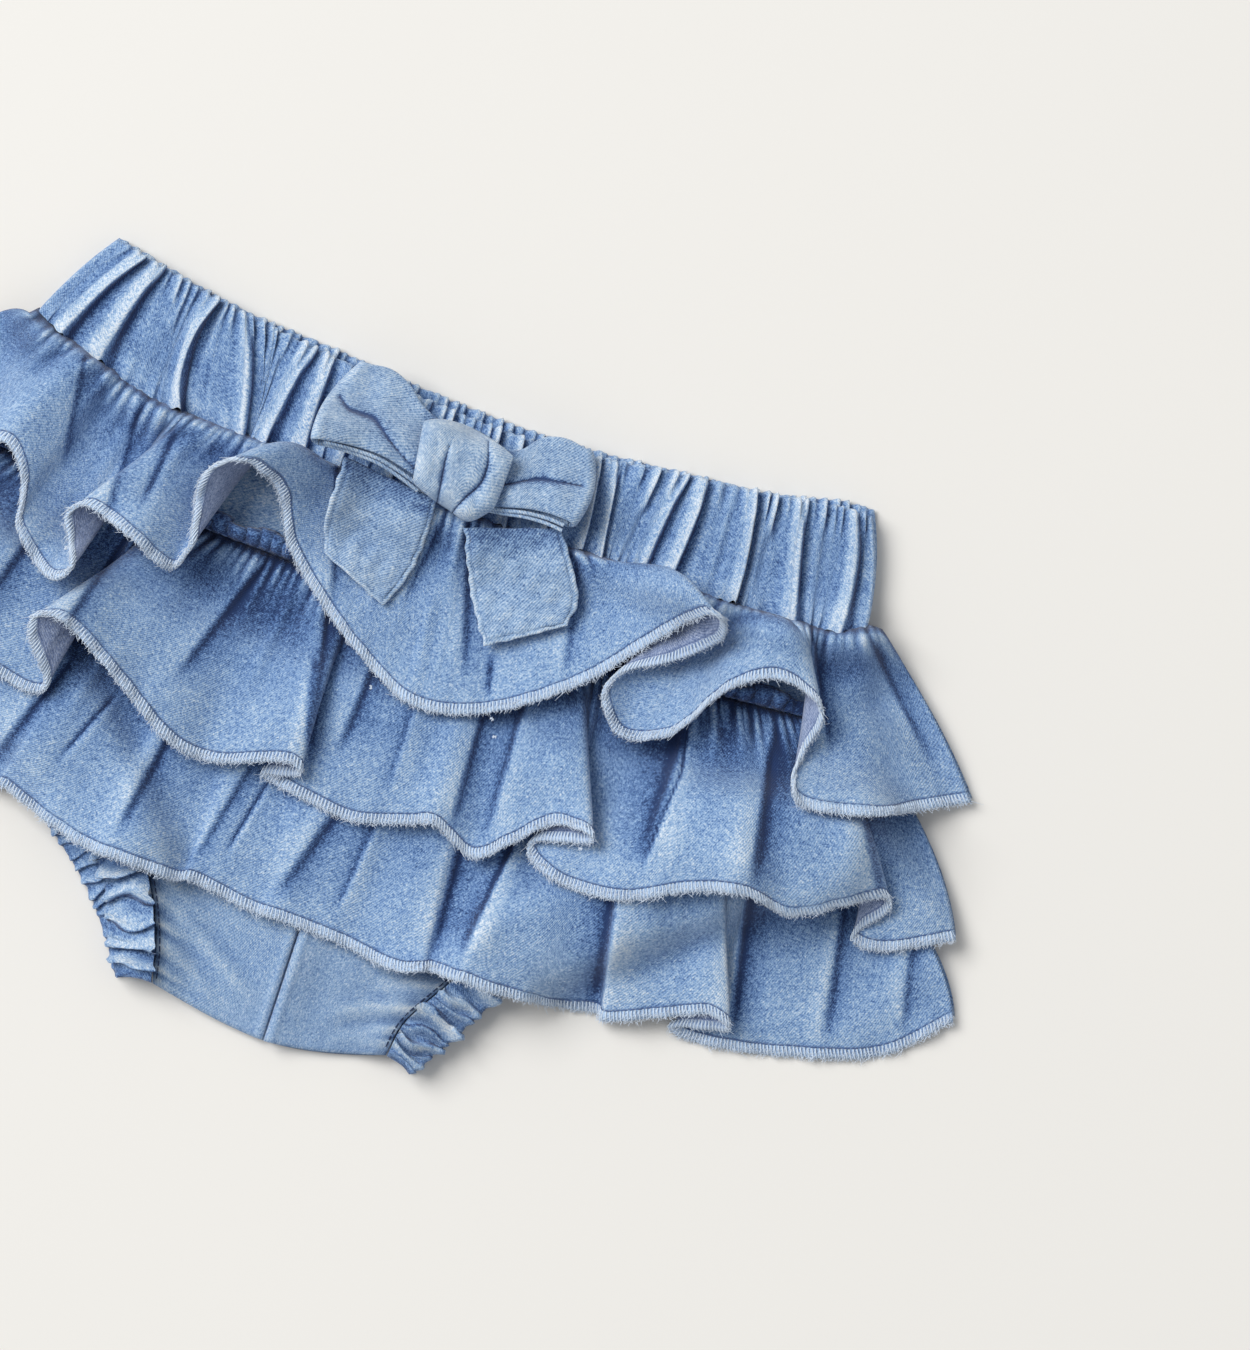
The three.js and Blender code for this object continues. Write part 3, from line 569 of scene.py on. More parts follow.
# The bloomers' back: one panel of the same denim from the waist to the crotch, hidden but for a
# sliver beside each leg. It is sewn to the casing above and to the elastic legs at its sides.
CROTCH_Y = -169.3
SEAM_GAP = 0.35  # between the edges of two pieces that are sewn together
SIDE_SEAM = 108.5  # from the middle to the side seams at the waist
EASE = 0.3  # the panels are loose over what is under them
LEG_TOP = 0.38  # share of a panel's length above the leg opening
LEGS = {  # outer x, outer y, inner x, inner y down each leg's elastic casing
    "left_back": [
        [-117, -82, -109, -75], [-94, -113, -85.5, -106.5], [-72, -134, -65, -125.5],
        [-57, -146.5, -49, -139], [-49, -156, -38, -152], [-42.5, -166, -33, -164.5],
    ],
    "right_back": [
        [116, -81, 108, -74], [83, -107, 75, -99.5], [56, -132, 47.5, -124.5],
        [46.5, -147.5, 36, -143], [41.5, -156.5, 30, -154], [35.5, -166, 28.5, -163.2],
    ],
    "left_front": [
        [-116, -80, -108, -73], [-88, -106, -80, -98.5], [-62, -132, -53.5, -125],
        [-51.5, -146, -41, -141], [-47.5, -156, -35.5, -153.5], [-42, -166, -33, -164.2],
    ],
    "right_front": [
        [116, -80, 108, -73], [84, -106, 76, -98.5], [57, -131, 48.5, -123.5],
        [47.5, -146.5, 37, -142], [42.5, -155.5, 30.5, -153], [36, -165.8, 28.5, -163],
    ],
}


def leg_edge(leg, share):
    """The leg's edges at shares of its length."""
    rows = np.array(LEGS[leg], float)
    knots = lengths(rows[:, None, :2], 0)[:, 0]
    return smooth(rows, knots, share * knots[-1])


def panel_plan(leg, centre_x, share, v):
    """Plan places of half the bloomers, share from the centre line to the side, v down it."""
    side = -1 if leg.startswith("left") else 1
    outer = leg_edge(leg, np.clip((v - LEG_TOP) / (1 - LEG_TOP), 0, 1))[..., 2:] - [side * SEAM_GAP, 0]
    waist = np.array([side * SIDE_SEAM, by_x(WAIST_SEAM, side * SIDE_SEAM) - SEAM_GAP])
    outer = mix(waist, outer, np.minimum(v / LEG_TOP, 1)[..., None])
    last = leg_edge(leg, np.array(1.0))[3]
    down = (outer[..., 1] - waist[1]) / (last - waist[1])
    middle_y = mix(by_x(WAIST_SEAM, centre_x) - SEAM_GAP, CROTCH_Y, down)
    x = mix(centre_x, outer[..., 0], share)
    y = mix(middle_y, outer[..., 1], share ** mix(1, 1.6, v))
    top = by_x(WAIST_SEAM, x) - SEAM_GAP
    return x, mix(top, y, step(v, 0, 0.05))


share, v = np.meshgrid(np.linspace(1, 0, 50), even(64), indexing="ij")
left_x, left_y = panel_plan("left_back", 0, share, v)
right_x, right_y = panel_plan("right_back", 0, share[::-1], v)
x = np.concatenate([left_x, right_x[1:]])
y = np.concatenate([left_y, right_y[1:]])
grid = np.stack([x, y, laid.rest(x, y, LAYER) + EASE], axis=-1)
made = shell("bloomers_back_cloth", grid, [DENIM, DENIM_INSIDE])
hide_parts("bloomers_back")


# The leg casings: a narrow folded strip round each leg opening with an elastic inside, which
# draws the denim into sharp crosswise gathers. The backs lie under the fronts and show beside them.
LEG_GATHERS = {  # how far down the leg's edge each large gather lies, its half width and height
    "left_front": [
        [0.42, 1.3, 1], [0.5, 1.2, 1], [0.6, 1.3, 1.2], [0.66, 1.1, 1.3], [0.73, 1.4, 1.5],
        [0.775, 0.8, 1.1], [0.825, 1.1, 1.5], [0.87, 0.8, 1.2], [0.915, 1.1, 1.5], [0.965, 0.9, 1.1],
    ],
    "right_front": [
        [0.42, 1.3, 1], [0.5, 1.2, 1], [0.62, 1.2, 1.2], [0.7, 1.1, 1.3], [0.765, 1.4, 1.6],
        [0.82, 0.9, 1.2], [0.875, 1.3, 1.7], [0.93, 0.9, 1.3], [0.97, 0.9, 1.2],
    ],
}
LEG_CASING = 1.9  # thickness of two plies round the narrow elastic
LEG_COLUMNS = 300  # of points along the strip


def leg_casing(leg, ease, seed):
    at = even(LEG_COLUMNS)
    edges = leg_edge(leg, at)
    total = lengths(edges[:, None, :2], 0)[-1, 0]
    down = FACE_DOWN
    small = small_gathers(seed, 0, total, 3.3, (0.5, 0.9), (0.5, 1.3))
    swing = 0.85 * np.sin(4.5 * down.T + at * total / 1.9)  # the gathers snake across the strip
    snaking = lambda gathers: np.concatenate([ridges(row, gathers, 1) for row in at * total + swing], axis=1)
    height = snaking(small) * (1 - 0.4 * down)
    if leg in LEG_GATHERS:
        height = height + 1.6 * snaking(np.array(LEG_GATHERS[leg]) * [total, 1, 1]) * mix(0.8, 1, down)
    sideways = 1.1 * np.sin(at * total / 3.1)
    middle = lambda x, y, down: laid.rest(x, y, LEG_CASING) + ease
    rim, seam = edges[:, :2], edges[:, 2:]
    rim = rim + unit(rim - seam) * (0.5 * height[:, :1] - 0.3)
    if leg.startswith("right"):
        rim, seam, height, sideways = rim[::-1], seam[::-1], height[::-1], sideways[::-1]
    made = casing(f"leg_casing_{leg}", rim, seam, sideways, middle, height, LEG_CASING, painted_contrast=0.2)
    side, face = leg.split("_")
    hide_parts(f"leg_{side}_{face}")


leg_casing("left_back", ease=0, seed=21)
leg_casing("right_back", ease=0, seed=24)

# The bloomers' fronts: two panels sewn together down the centre, smooth in the middle and drawn
# into soft creases beside each leg's elastic.
CENTRE_SEAM = -2  # where it lies along the waist
LEG_LENGTH = 140  # of the front's seam with the leg casing
PANEL_CREASES = {  # x and y of each end, half width, height
    "left_front": [
        [-33, -145, -8, -161, 2.2, 1], [-36, -152, -16, -164, 1.8, 0.7], [-38, -139, -24, -146, 1.8, 0.7],
    ],
    "right_front": [
        [30, -149, 11, -158, 2.2, 1.1], [33, -143, 20, -148, 1.6, 0.7], [28, -158, 14, -163, 1.8, 0.7],
    ],
}


def beside(x, y, line):
    """How far along a straight line each place is, as a share, and how far off to its right."""
    x0, y0, x1, y1 = line
    run = math.hypot(x1 - x0, y1 - y0)
    along = ((x - x0) * (x1 - x0) + (y - y0) * (y1 - y0)) / run**2
    return along, ((x - x0) * (y1 - y0) - (y - y0) * (x1 - x0)) / run


def creased(x, y, creases):
    """The height of straight creases that fade out at both ends."""
    height = 0
    for *line, width, tall in creases:
        along, across = beside(x, y, line)
        fade = step(along, -0.12, 0.2) * (1 - step(along, 0.7, 1.15))
        lip = 0.22 * hump(across + 1.9 * width, 1.1 * width)
        height = height + tall * fade * (hump(across, width) - lip)
    return height


def crease_shade(x, y, creases):
    """Painted shade, 0 to 1, in each of the hollow creases."""
    hollow = [[*line, 0.75 * width, 1] for *line, width, tall in creases if tall < 0]
    return np.clip(creased(x, y, hollow), 0, 1)


def drawn_in(x, y, paths, width):
    """How near each place is to a curved crease, 0 to 1; a crease is thinnest at its ends."""
    near = 0 * x
    for path in paths:
        points = curve(path, even(60))
        far = np.hypot(x[..., None] - points[:, 0], y[..., None] - points[:, 1])
        wide = width * (0.4 + 0.6 * np.sin(math.pi * far.argmin(-1) / 59))
        near = np.maximum(near, hump(far.min(-1), wide))
    return near


def waves(x, y, pitch, seed):
    """A gentle unevenness, about -1 to 1, of the given pitch."""
    draw = np.random.default_rng(seed)
    total = 0
    for turn, start in draw.uniform(0, 2 * math.pi, (7, 2)):
        total = total + np.sin((x * math.cos(turn) + y * math.sin(turn)) * 2 * math.pi / pitch + start)
    return total / 3.5


def thread_finish(name, colour):
    """Soft cotton thread, a little uneven in colour."""
    finish = Finish(name, roughness=0.9, sheen=0.4)
    place = finish.node("ShaderNodeTexCoord", {}, {}, output=3)
    patches = finish.noise(place, 900, 3)
    colour = finish.blend(patches, linear(colour, 0.8), linear(colour))
    finish.put(finish.shader.inputs["Base Color"], colour)
    return finish.material


SEAM_THREAD = thread_finish("seam_thread", (44, 66, 110))


def tubes(name, lines, radius, sides, material, wear=0):
    """Threads along lines[thread][point] of the given radius at each point."""
    tangent = unit(np.gradient(lines, axis=1))
    across = unit(np.cross(tangent, [0.31, 0.17, 0.93]))
    other = np.cross(tangent, across)
    turn = np.arange(sides) * 2 * math.pi / sides
    radius = np.broadcast_to(radius, lines.shape[:2])[..., None, None]
    ring = across[..., None, :] * np.cos(turn)[:, None] + other[..., None, :] * np.sin(turn)[:, None]
    points = lines[..., None, :] + radius * ring
    points[..., 2] = np.maximum(points[..., 2], 0.02)
    at = np.arange(points[..., 0].size).reshape(points.shape[:3])
    ahead = np.roll(at, -1, axis=2)
    faces = np.stack([at[:, :-1], ahead[:, :-1], ahead[:, 1:], at[:, 1:]], axis=-1).reshape(-1, 4)
    points = points.reshape(-1, 3)
    attributes = {"cloth": points, "wear": np.full(len(points), float(wear))}
    return piece(name, points, faces, [material], attributes)


def dashes(line, pitch, length):
    """Short stretches of a line of points, at even steps."""
    travel = lengths(line[:, None], 0)[:, 0]
    start = np.arange(pitch, travel[-1] - pitch, pitch)
    at = start[:, None] + np.linspace(0, length, 4)
    return np.stack([np.interp(at, travel, column) for column in line.T], axis=-1)


def bloomers_front(leg, centre_x, seed):
    side = -1 if leg.startswith("left") else 1
    share, v = np.meshgrid(even(80) ** 0.9, even(100) ** 0.8, indexing="ij")
    x, y = panel_plan(leg, centre_x, share, v)
    gap = np.hypot(x - x[-1:], y - y[-1:])
    at = np.clip((v[0] - LEG_TOP) / (1 - LEG_TOP), 0, 1)
    large = np.array(LEG_GATHERS[leg]) * [LEG_LENGTH, 1.2, 0.8]
    small = small_gathers(seed, 0, LEG_LENGTH, 3.3, (0.6, 1.1), (0.2, 0.6))
    pucker = 1.2 * ridges(at * LEG_LENGTH, np.concatenate([large, small]), 1).T * np.exp(-gap / 4.5)
    z = laid.rest(x, y, LAYER) + EASE + pucker
    z = z + creased(x, y, PANEL_CREASES[leg]) + 0.5 * waves(x, y, 26, seed)
    seam = np.abs(x - centre_x)
    z = z + 0.45 * hump(seam - 1.6, 1) - 0.35 * hump(seam, 0.5)
    grid = np.stack([x, y, z], axis=-1)
    # Painted shade along the seam with the leg casing and between the puckers, and painted highlight on the
    # pucker crests.
    dark = 0.3 * hump(gap, 0.7) - 0.14 - 0.15 * np.clip(pucker, -1, 1)
    made = shell(f"bloomers_{leg}_cloth", grid[::side], [DENIM, DENIM_INSIDE], dark=dark[::side])
    node = "bloomers_front_left" if side < 0 else "bloomers_front_right"
    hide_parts(node)
    lines = []
    if side < 0:
        centre = grid[0] + [SEAM_GAP / 2, 0, 0.5]
        lines = [dashes(row, pitch=2.4, length=1.7) for row in (centre, centre + [0.16, 0, 0])]
    leg_seam = grid[-1][at > 0.02] + [-side * 0.9, 0, 0.4]
    lines = np.concatenate([*lines, dashes(leg_seam, pitch=2.1, length=1.5)])
    stitches = tubes(f"bloomers_{leg}_stitches", lines, radius=0.17, sides=5, material=SEAM_THREAD)


bloomers_front("left_front", CENTRE_SEAM - SEAM_GAP / 2, seed=31)
bloomers_front("right_front", CENTRE_SEAM + SEAM_GAP / 2, seed=33)
leg_casing("left_front", ease=EASE, seed=27)
leg_casing("right_front", ease=EASE, seed=29)
bloomers_laid = laid.copy()

# The front of the waist casing: the same folded strip over the elastic. It is drawn into 22 large
# gathers, most of them from the fold to the seam, with small ones along the fold and the seam.
BAND_GATHERS = [  # top, seam, bow, height, width, reach
    [-92.5, -106, -1.5, 1.5, 3, 1], [-87.5, -95, -1.2, 1.7, 3, 1], [-80, -81, 0.5, 0.7, 2.6, 0.5],
    [-72, -72.5, -3.2, 1.8, 2.8, 1], [-63.5, -55.5, 1, 1.7, 2.8, 1], [-45.5, -49.5, -0.5, 1.6, 3.6, 1],
    [-39.5, -39.5, -0.6, 1.6, 3, 1], [-29, -30, 0, 1.2, 3, 1], [-14, -17, 0, 1.2, 2.6, 1],
    [-7, -7, 0, 1.2, 2.6, 1], [5, 7, 0, 1.4, 2.6, 1], [12, 14, 0, 1.2, 2.6, 1],
    [22, 24, 0, 1.2, 2.6, 1], [31, 34, 0.5, 1.5, 2.4, 1], [36, 39, 0, 1.5, 2.4, 1],
    [46.5, 45, 0, 0.9, 2.4, 0.5], [53, 50, -0.3, 1.6, 3, 1], [58.5, 56.5, 0.3, 1.8, 3, 1],
    [70.5, 74, 1, 1.9, 3, 1], [76.5, 80, 0, 0.9, 2.4, 0.4], [82.5, 89.5, -0.3, 1.8, 3.2, 1],
    [96.5, 101, 1.4, 1.7, 3, 1],
]


def over_the_back(x, y, down):
    arch = 0.8 * (1 - down) + 2.4 * np.sin(down * math.pi)
    return laid.rest(x, y, CASING) + arch * np.clip(1 - (x / 113) ** 4, 0, 1)


waist_front = waist_casing(
    "waist_casing_front", columns=760, top_column=2, gathers=BAND_GATHERS, middle=over_the_back, seed=41
)
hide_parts("waistband_front")

# The front ruffles: gathered lengths of the same denim, each sewn on along its upper edge, so
# that the free hem falls into flutes. They are laid from the bottom tier up.
PUFF = 1.6  # cloth stands this far off the straight line from root to hem
HEMS = {  # where each flute starts at the root, then the hem's x, y, lift, puff over the root, bow;
    # the puff and the bow are left out where there is none
    "bottom": [
        [-118, -160, -110, 0.4, 0, -7], [-106, -142, -124, 0.6, 0, -3], [-95, -122, -127, 2.5],
        [-85, -105, -126, 3], [-74, -88, -130, 0.8], [-69, -83.5, -129.5, 2.8], [-62, -72, -133.5, 2],
        [-53, -60, -137, 1.5], [-44, -50, -137.5, 3], [-33, -36, -138, 0.6], [-26, -31, -137, 2.6],
        [-16, -16, -139.3, 1.6], [-8, -9, -139.3, 2.4], [-3, -2, -139.5, 0.5], [8, 10, -140.3, 0.9],
        [17, 22, -142, 3.4], [23, 29, -140.5, 3], [27, 32, -139.3, 0.5], [34, 38.5, -139.5, 0.5],
        [38, 41, -139.2, 2.2], [45, 50, -139.5, 1.6], [57, 65, -138, 0.6], [63, 75, -136.5, 0.6],
        [66, 78, -137.5, 3.5], [76, 91, -132, 5], [82.6, 101, -127.9, 6.6], [85.6, 106.8, -129, 6.2],
        [86.8, 106.8, -130.4, 4.4, 0, 0.6], [88, 102, -131.6, 4, 0, 2.5], [89.6, 96, -133, 3.2, 0, 5.5],
        [91.2, 93.3, -134.4, 1.9, 0, 7], [93, 97.5, -135.6, 0.5, 0, 5.5], [96, 107, -135, 0.4, 0, 2],
        [101, 122, -132, 0.4, 0, 1], [109, 145, -124.5, 0.4, 0, 4], [118, 160, -110.5, 0.4, 0, 7],
    ],
    "middle": [
        [-116, -154, -90, 0.4, 0, -5], [-108, -133, -98, 1, 0, -3], [-99, -118, -93, 6],
        [-90, -105, -100, 2.5], [-80, -94, -103, 0.6], [-74, -85.5, -104.8, 0.6],
        [-71.3, -81.3, -103.8, 1.6], [-69.4, -81, -100.8, 3.6], [-67.3, -84, -96.8, 6],
        [-65, -88.2, -91, 9], [-62, -88, -86.7, 11.5], [-57, -81, -85.5, 13, 1], [-49, -66, -94, 9, 1],
        [-39, -48, -105.5, 4], [-30, -36, -107, 2.5], [-22.5, -24, -103, 6.4], [-18.5, -18, -101.2, 7.8],
        [-16.6, -14.6, -102, 7], [-15.4, -14.6, -103.6, 4.8], [-13.8, -19, -105, 3, 0, 0.8],
        [-12, -23.5, -106, 1.8, 0, 1.6], [-10, -20, -107.2, 0.6, 0, 1.6], [-4.5, -9, -109, 0.4, 0, 0.4],
        [3, 2, -110, 0.6], [11, 15, -106.5, 2.5], [15.5, 22, -104.5, 4], [22, 33, -109.3, 1],
        [28, 40.5, -103.5, 4], [35, 49, -95.3, 8], [39.6, 56, -94, 9.8], [41.6, 59.8, -94.8, 9.4],
        [43, 60, -96.2, 6.8, 0, 0.4], [44.6, 55, -97.8, 5.6, 0, 1.6], [46.4, 49, -99.4, 4.4, 0, 3],
        [48.4, 45.8, -101.4, 2.8, 0, 4], [50.4, 46, -104, 1, 0, 3.6], [53, 50.5, -106.8, 0.4, 0, 2.2],
        [57, 58, -108.6, 0.5, 0, 1], [63, 72, -107.2, 1.2], [72, 87, -100, 4.8], [82, 100, -96.5, 7.6],
        [90, 113, -97.7, 6], [98, 126, -90.2, 6.4], [103, 132.6, -86.6, 6.8, 0, 1],
        [105.6, 135.6, -87.4, 5.4, 0, 1.6], [107.4, 134.6, -91, 4, 0, 2.2],
        [109.4, 130.6, -95.6, 2.4, 0, 3], [111.4, 130.2, -99.4, 1, 0, 4], [113.6, 138, -99, 0.5, 0, 5],
        [116, 154, -91, 0.4, 0, 5],
    ],
    "top": [
        [-112.5, -147, -56, 0.4, 8], [-109, -131, -64, 0.8, 5], [-104, -119, -52, 8],
        [-97, -109, -48, 12, 3], [-90, -102, -56, 8, 2], [-85, -99, -67.5, 2.5], [-78, -89, -75.8, 0.7],
        [-73, -83.5, -74, 2.5], [-70.5, -85, -68, 6.5], [-67.5, -88.6, -61, 11], [-64.5, -85, -56.5, 14],
        [-57.5, -73, -60, 12], [-51.5, -61, -65, 4], [-48, -57.5, -58, 9], [-45, -59, -49, 13, 0.3],
        [-42.3, -60, -41.5, 17, 1], [-39, -56, -35.5, 19, 3], [-35, -49.5, -33.8, 18.5, 3.5],
        [-29.5, -41, -38, 13, 2], [-24.5, -34.5, -50, 7, 1], [-17, -23, -60.5, 2], [-7, -7, -71.5, 1],
        [4, 8, -78, 0.8], [16, 26, -73.5, 1.2], [30, 45, -60, 5, 2], [43, 57.5, -46, 10.5, 4.5],
        [50, 66, -36.2, 15, 4.5], [54, 71, -33, 17.2, 3.5], [56.2, 74.6, -34.8, 14.8, 2.6],
        [58.4, 74.8, -38.2, 12.8, 1.6], [60.4, 70.5, -42.8, 11.4, 0.8], [62.6, 63.5, -48.2, 9.6],
        [64.6, 56, -52.3, 8.6], [66.4, 51.6, -57, 5.6], [68.2, 51.6, -62, 3], [70, 55, -66.6, 1.6],
        [72, 60.5, -69, 1.8], [75, 71, -64, 4.2], [79, 80, -50, 10, 2], [85.5, 92, -43, 13, 3],
        [91.5, 104.5, -48, 10, 1], [96, 102.5, -62, 4], [100, 106, -71, 0.8],
        [106, 125, -67.5, 0.4, 0, 1], [112, 147, -57, 0.4, 0, 2],
    ],
}
CREASES = {  # x and y of each end, half width, height
    "bottom": [
        [-64, -99, -72, -118, 0.8, -0.7], [-21, -107, -25.5, -127, 0.7, -0.8],
        [125, -98, 128, -124, 1.6, 0.4],
    ],
    "middle": [
        [73.6, -60, 76.2, -74, 0.6, -0.9], [76, -71, 74, -97, 0.6, -1], [-20, -72, -14, -98, 1.1, -0.5],
    ],
    "top": [[3, -50, 6, -72, 1.6, 0.5], [22, -60, 24, -70, 1.3, -0.4], [-70, -32, -72, -52, 1.3, -0.6]],
}
PLEATS = {  # x and y of each end, reach of the gentle side, height; a negative reach is to the right
    "bottom": [
        [70, -102, 76, -136, -12, 1.7], [100, -94, 107, -132, 10, 1.7], [43, -100, 39, -134, -6, 1.7],
        [28, -102, 30, -137, 9, 1.5], [-2, -104, -12, -134, 10, 1.3], [-48, -98, -54, -132, 8, 1.3],
        [-78, -94, -90, -126, 9, 1.3], [124, -92, 130, -126, 8, 1], [142, -90, 148, -118, 7, 0.9],
        [9, -104, 6, -134, -7, 0.9], [-27, -104, -34, -134, 7, 0.9],
    ],
    "middle": [
        [74, -58, 75, -99, -11, 1.6], [94, -58, 100, -96, 11, 1.8], [-22, -58, -13, -104, 7, 1.3],
        [-5, -62, -8, -96, 8, 1.2], [23, -66, 25, -106, 7, 1.3], [34, -66, 36, -106, -7, 1.1],
        [-40, -56, -52, -90, 8, 1.3], [117, -62, 133, -90, 8, 1.1], [-74, -58, -84, -96, 8, 1.3],
        [-94, -60, -106, -98, 8, 1.1], [8, -66, 9, -102, -6, 0.8],
    ],
    "top": [
        [5, -30, 16, -68, 8, 1.1], [-1, -31, -4, -56, 3.5, 0.8], [-30, -28, -20, -62, 6, 1],
        [94, -28, 109, -58, 6, 1.2], [108, -26, 134, -52, 6, 0.9], [34, -32, 40, -60, 7, 0.8],
        [-98, -22, -95, -50, 6, 0.9], [-82, -25, -80, -62, 7, 0.9], [-14, -30, -10, -60, 4, 0.7],
    ],
}
STEEP = 0.13  # reach of a pleat's steep side, as a share of the gentle one


def pleated(x, y, pleats):
    """The height of pleats that fall off gently on one side and steeply on the other, and the
    painted shade in the hollow beside each steep side, with painted highlight on the gentle side."""
    height = 0
    dark = 0
    for *line, reach, tall in pleats:
        along, across = beside(x, y, line)
        across = across * -math.copysign(1, reach)
        wide = abs(reach) * mix(0.7, 1, np.clip(along, 0, 1))
        fade = step(along, -0.15, 0.1) * (1 - step(along, 0.72, 1.05))
        height = height + tall * fade * hump(across, np.where(across < 0, wide, STEEP * wide))
        # Painted shade in the hollow beyond the steep side, and painted highlight on the gentle side near
        # the crest.
        hollow = 0.5 * hump(across - 0.2 * wide, 0.15 * wide)
        hollow = hollow + 0.3 * hump(across - 0.4 * wide, 0.5 * wide) * (across > 0)
        hollow = hollow - 0.22 * hump(across + 0.25 * wide, 0.4 * wide) * (across < 0)
        dark = dark + hollow * fade * tall / 1.6
    return height, dark


TIER_COLUMNS = 540  # of points round a tier
TIER_ROWS = 42  # and from its root to its hem


def tier_columns(rows):
    """The places of a table's curve at even steps over the root and the hem together."""
    fine = even(6000)
    line = curve(rows, fine)[:, None]
    travel = lengths(line[..., 1:3], 0)[:, 0] + lengths(line[..., :1], 0)[:, 0]
    return curve(rows, np.interp(np.linspace(0, travel[-1], TIER_COLUMNS), travel, fine))


def ruffle(tier, root_layers, seed):
    """A front tier, from its gathered root to its free hem, laid on what is under it."""
    rows = [(*row, 0, 0)[:6] for row in HEMS[tier]]
    root, hem_x, hem_y, lift, over, bow = tier_columns(rows).T[..., None]
    v = even(TIER_ROWS)[None]
    x = mix(root, hem_x, v) + bow * 4 * v * (1 - v)
    past = np.maximum(v - 0.05, 0)
    y = mix(ROOTS[tier](root), hem_y, v) + over * 6.75 * past * (1 - past) ** 2
    base = mix(root_layers.rest(x, y, LAYER), laid.rest(x, y, LAYER), step(v, 0, 0.06))
    arch = np.maximum(lift * (1 - (1 - v) ** 1.5) + PUFF * 4 * v * (1 - v), 0)
    left, right = rows[0][0], rows[-1][0]
    short = small_gathers(seed, left, right, 2.1, (0.45, 0.75), (1, 2.1))
    longer = small_gathers(seed + 1, left, right, 7, (0.7, 1.5), (0.4, 1.4))
    draw = np.random.default_rng(seed + 2)
    gather = tapering(root, np.column_stack([short, draw.uniform(0.16, 0.42, len(short))]), v)
    # Painted shade between the gathers near the root, and painted highlight on their crests.
    between = (0.55 - 0.5 * np.minimum(gather, 1.4)) * (1 - step(v, 0.06, 0.45))
    gather = gather + tapering(root, np.column_stack([longer, draw.uniform(0.4, 1.1, len(longer))]), v)
    pleats, hollows = pleated(x, y, PLEATS[tier])
    gather = gather + pleats + creased(x, y, CREASES[tier]) + 0.35 * waves(x, y, 19, seed) * v
    grid = np.stack([x, y, base + arch + gather], axis=-1)
    edge = lengths(grid, 1)
    edge = edge[:, -1:] - edge
    out = normals(grid)
    around = lengths(grid, 0)[:, -1:]
    ripple = 0.3 * np.sin(around * 2 * math.pi / 8.5 + 2 * np.sin(around / 23)) * (1 - step(edge, 0, 6))
    grid = grid + out * (ripple - 0.12 * hump(edge - HEM_BAND - 0.3, 0.5))[..., None]
    thickness = SHELL + 0.2 * (1 - step(edge, HEM_BAND - 0.6, HEM_BAND))
    # Painted shade in the creases and pleat hollows and along the root, painted shadow under the tier above
    # on the lower tiers, and paler towards the hem.
    dark = 0.7 * crease_shade(x, y, CREASES[tier]) + hollows + between + 0.25 * (1 - step(v, 0, 0.1))
    dark = dark + (0 if tier == "top" else 0.26) * (1 - step(v, 0.2, 0.75)) - 0.12 * step(v, 0.4, 0.95)
    materials = [DENIM_HEMMED, DENIM_INSIDE_HEMMED]
    made = shell(f"ruffle_{tier}_front_cloth", grid, materials, thickness, around, dark)
    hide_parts(f"ruffle_{tier}_front")
    return made, grid


# The hems: an overlocking machine's threads wrapped over each ruffle's raw edge. The washing has
# teased the ends of the cut yarns out between the stitches, so the edge is furred.
HEM_STRETCH = 1.15  # overlocking stretches the cut edge by this much
FUR_PITCH = 0.06  # from one teased fibre to the next
CROSSING = [  # along the hem, in from the edge, off the middle of the cloth
    [0, 2.5, 0.26], [0.12, 1.6, 0.46], [0.24, 0.8, 0.46], [0.36, 0, 0.36],
    [0.48, -0.25, 0], [0.6, 0, -0.36], [0.78, 1.2, -0.46], [0.95, 2.4, -0.3],
]
HEM_THREAD = thread_finish("hem_thread", (218, 233, 250))
FIBRE = thread_finish("teased_fibre", (222, 235, 252))
NEEDLE_THREAD = thread_finish("needle_thread", (70, 98, 150))


def along_hem(grid, pitch):
    """Places at even steps along the hem with its tangent, the way in and the way up."""
    travel = lengths(grid, 0)[:, -1]
    at = np.arange(pitch, travel[-1] - pitch, pitch)
    inward = grid[:, -4] - grid[:, -1]
    tangent = np.gradient(grid[:, -1], axis=0)
    up = normals(grid)[:, -2]
    every = np.concatenate([grid[:, -1], tangent, inward, up], axis=1)
    every = np.stack([np.interp(at, travel, column) for column in every.T], axis=1)
    place, *ways = np.split(every, 4, axis=1)
    return [place, *map(unit, ways)]


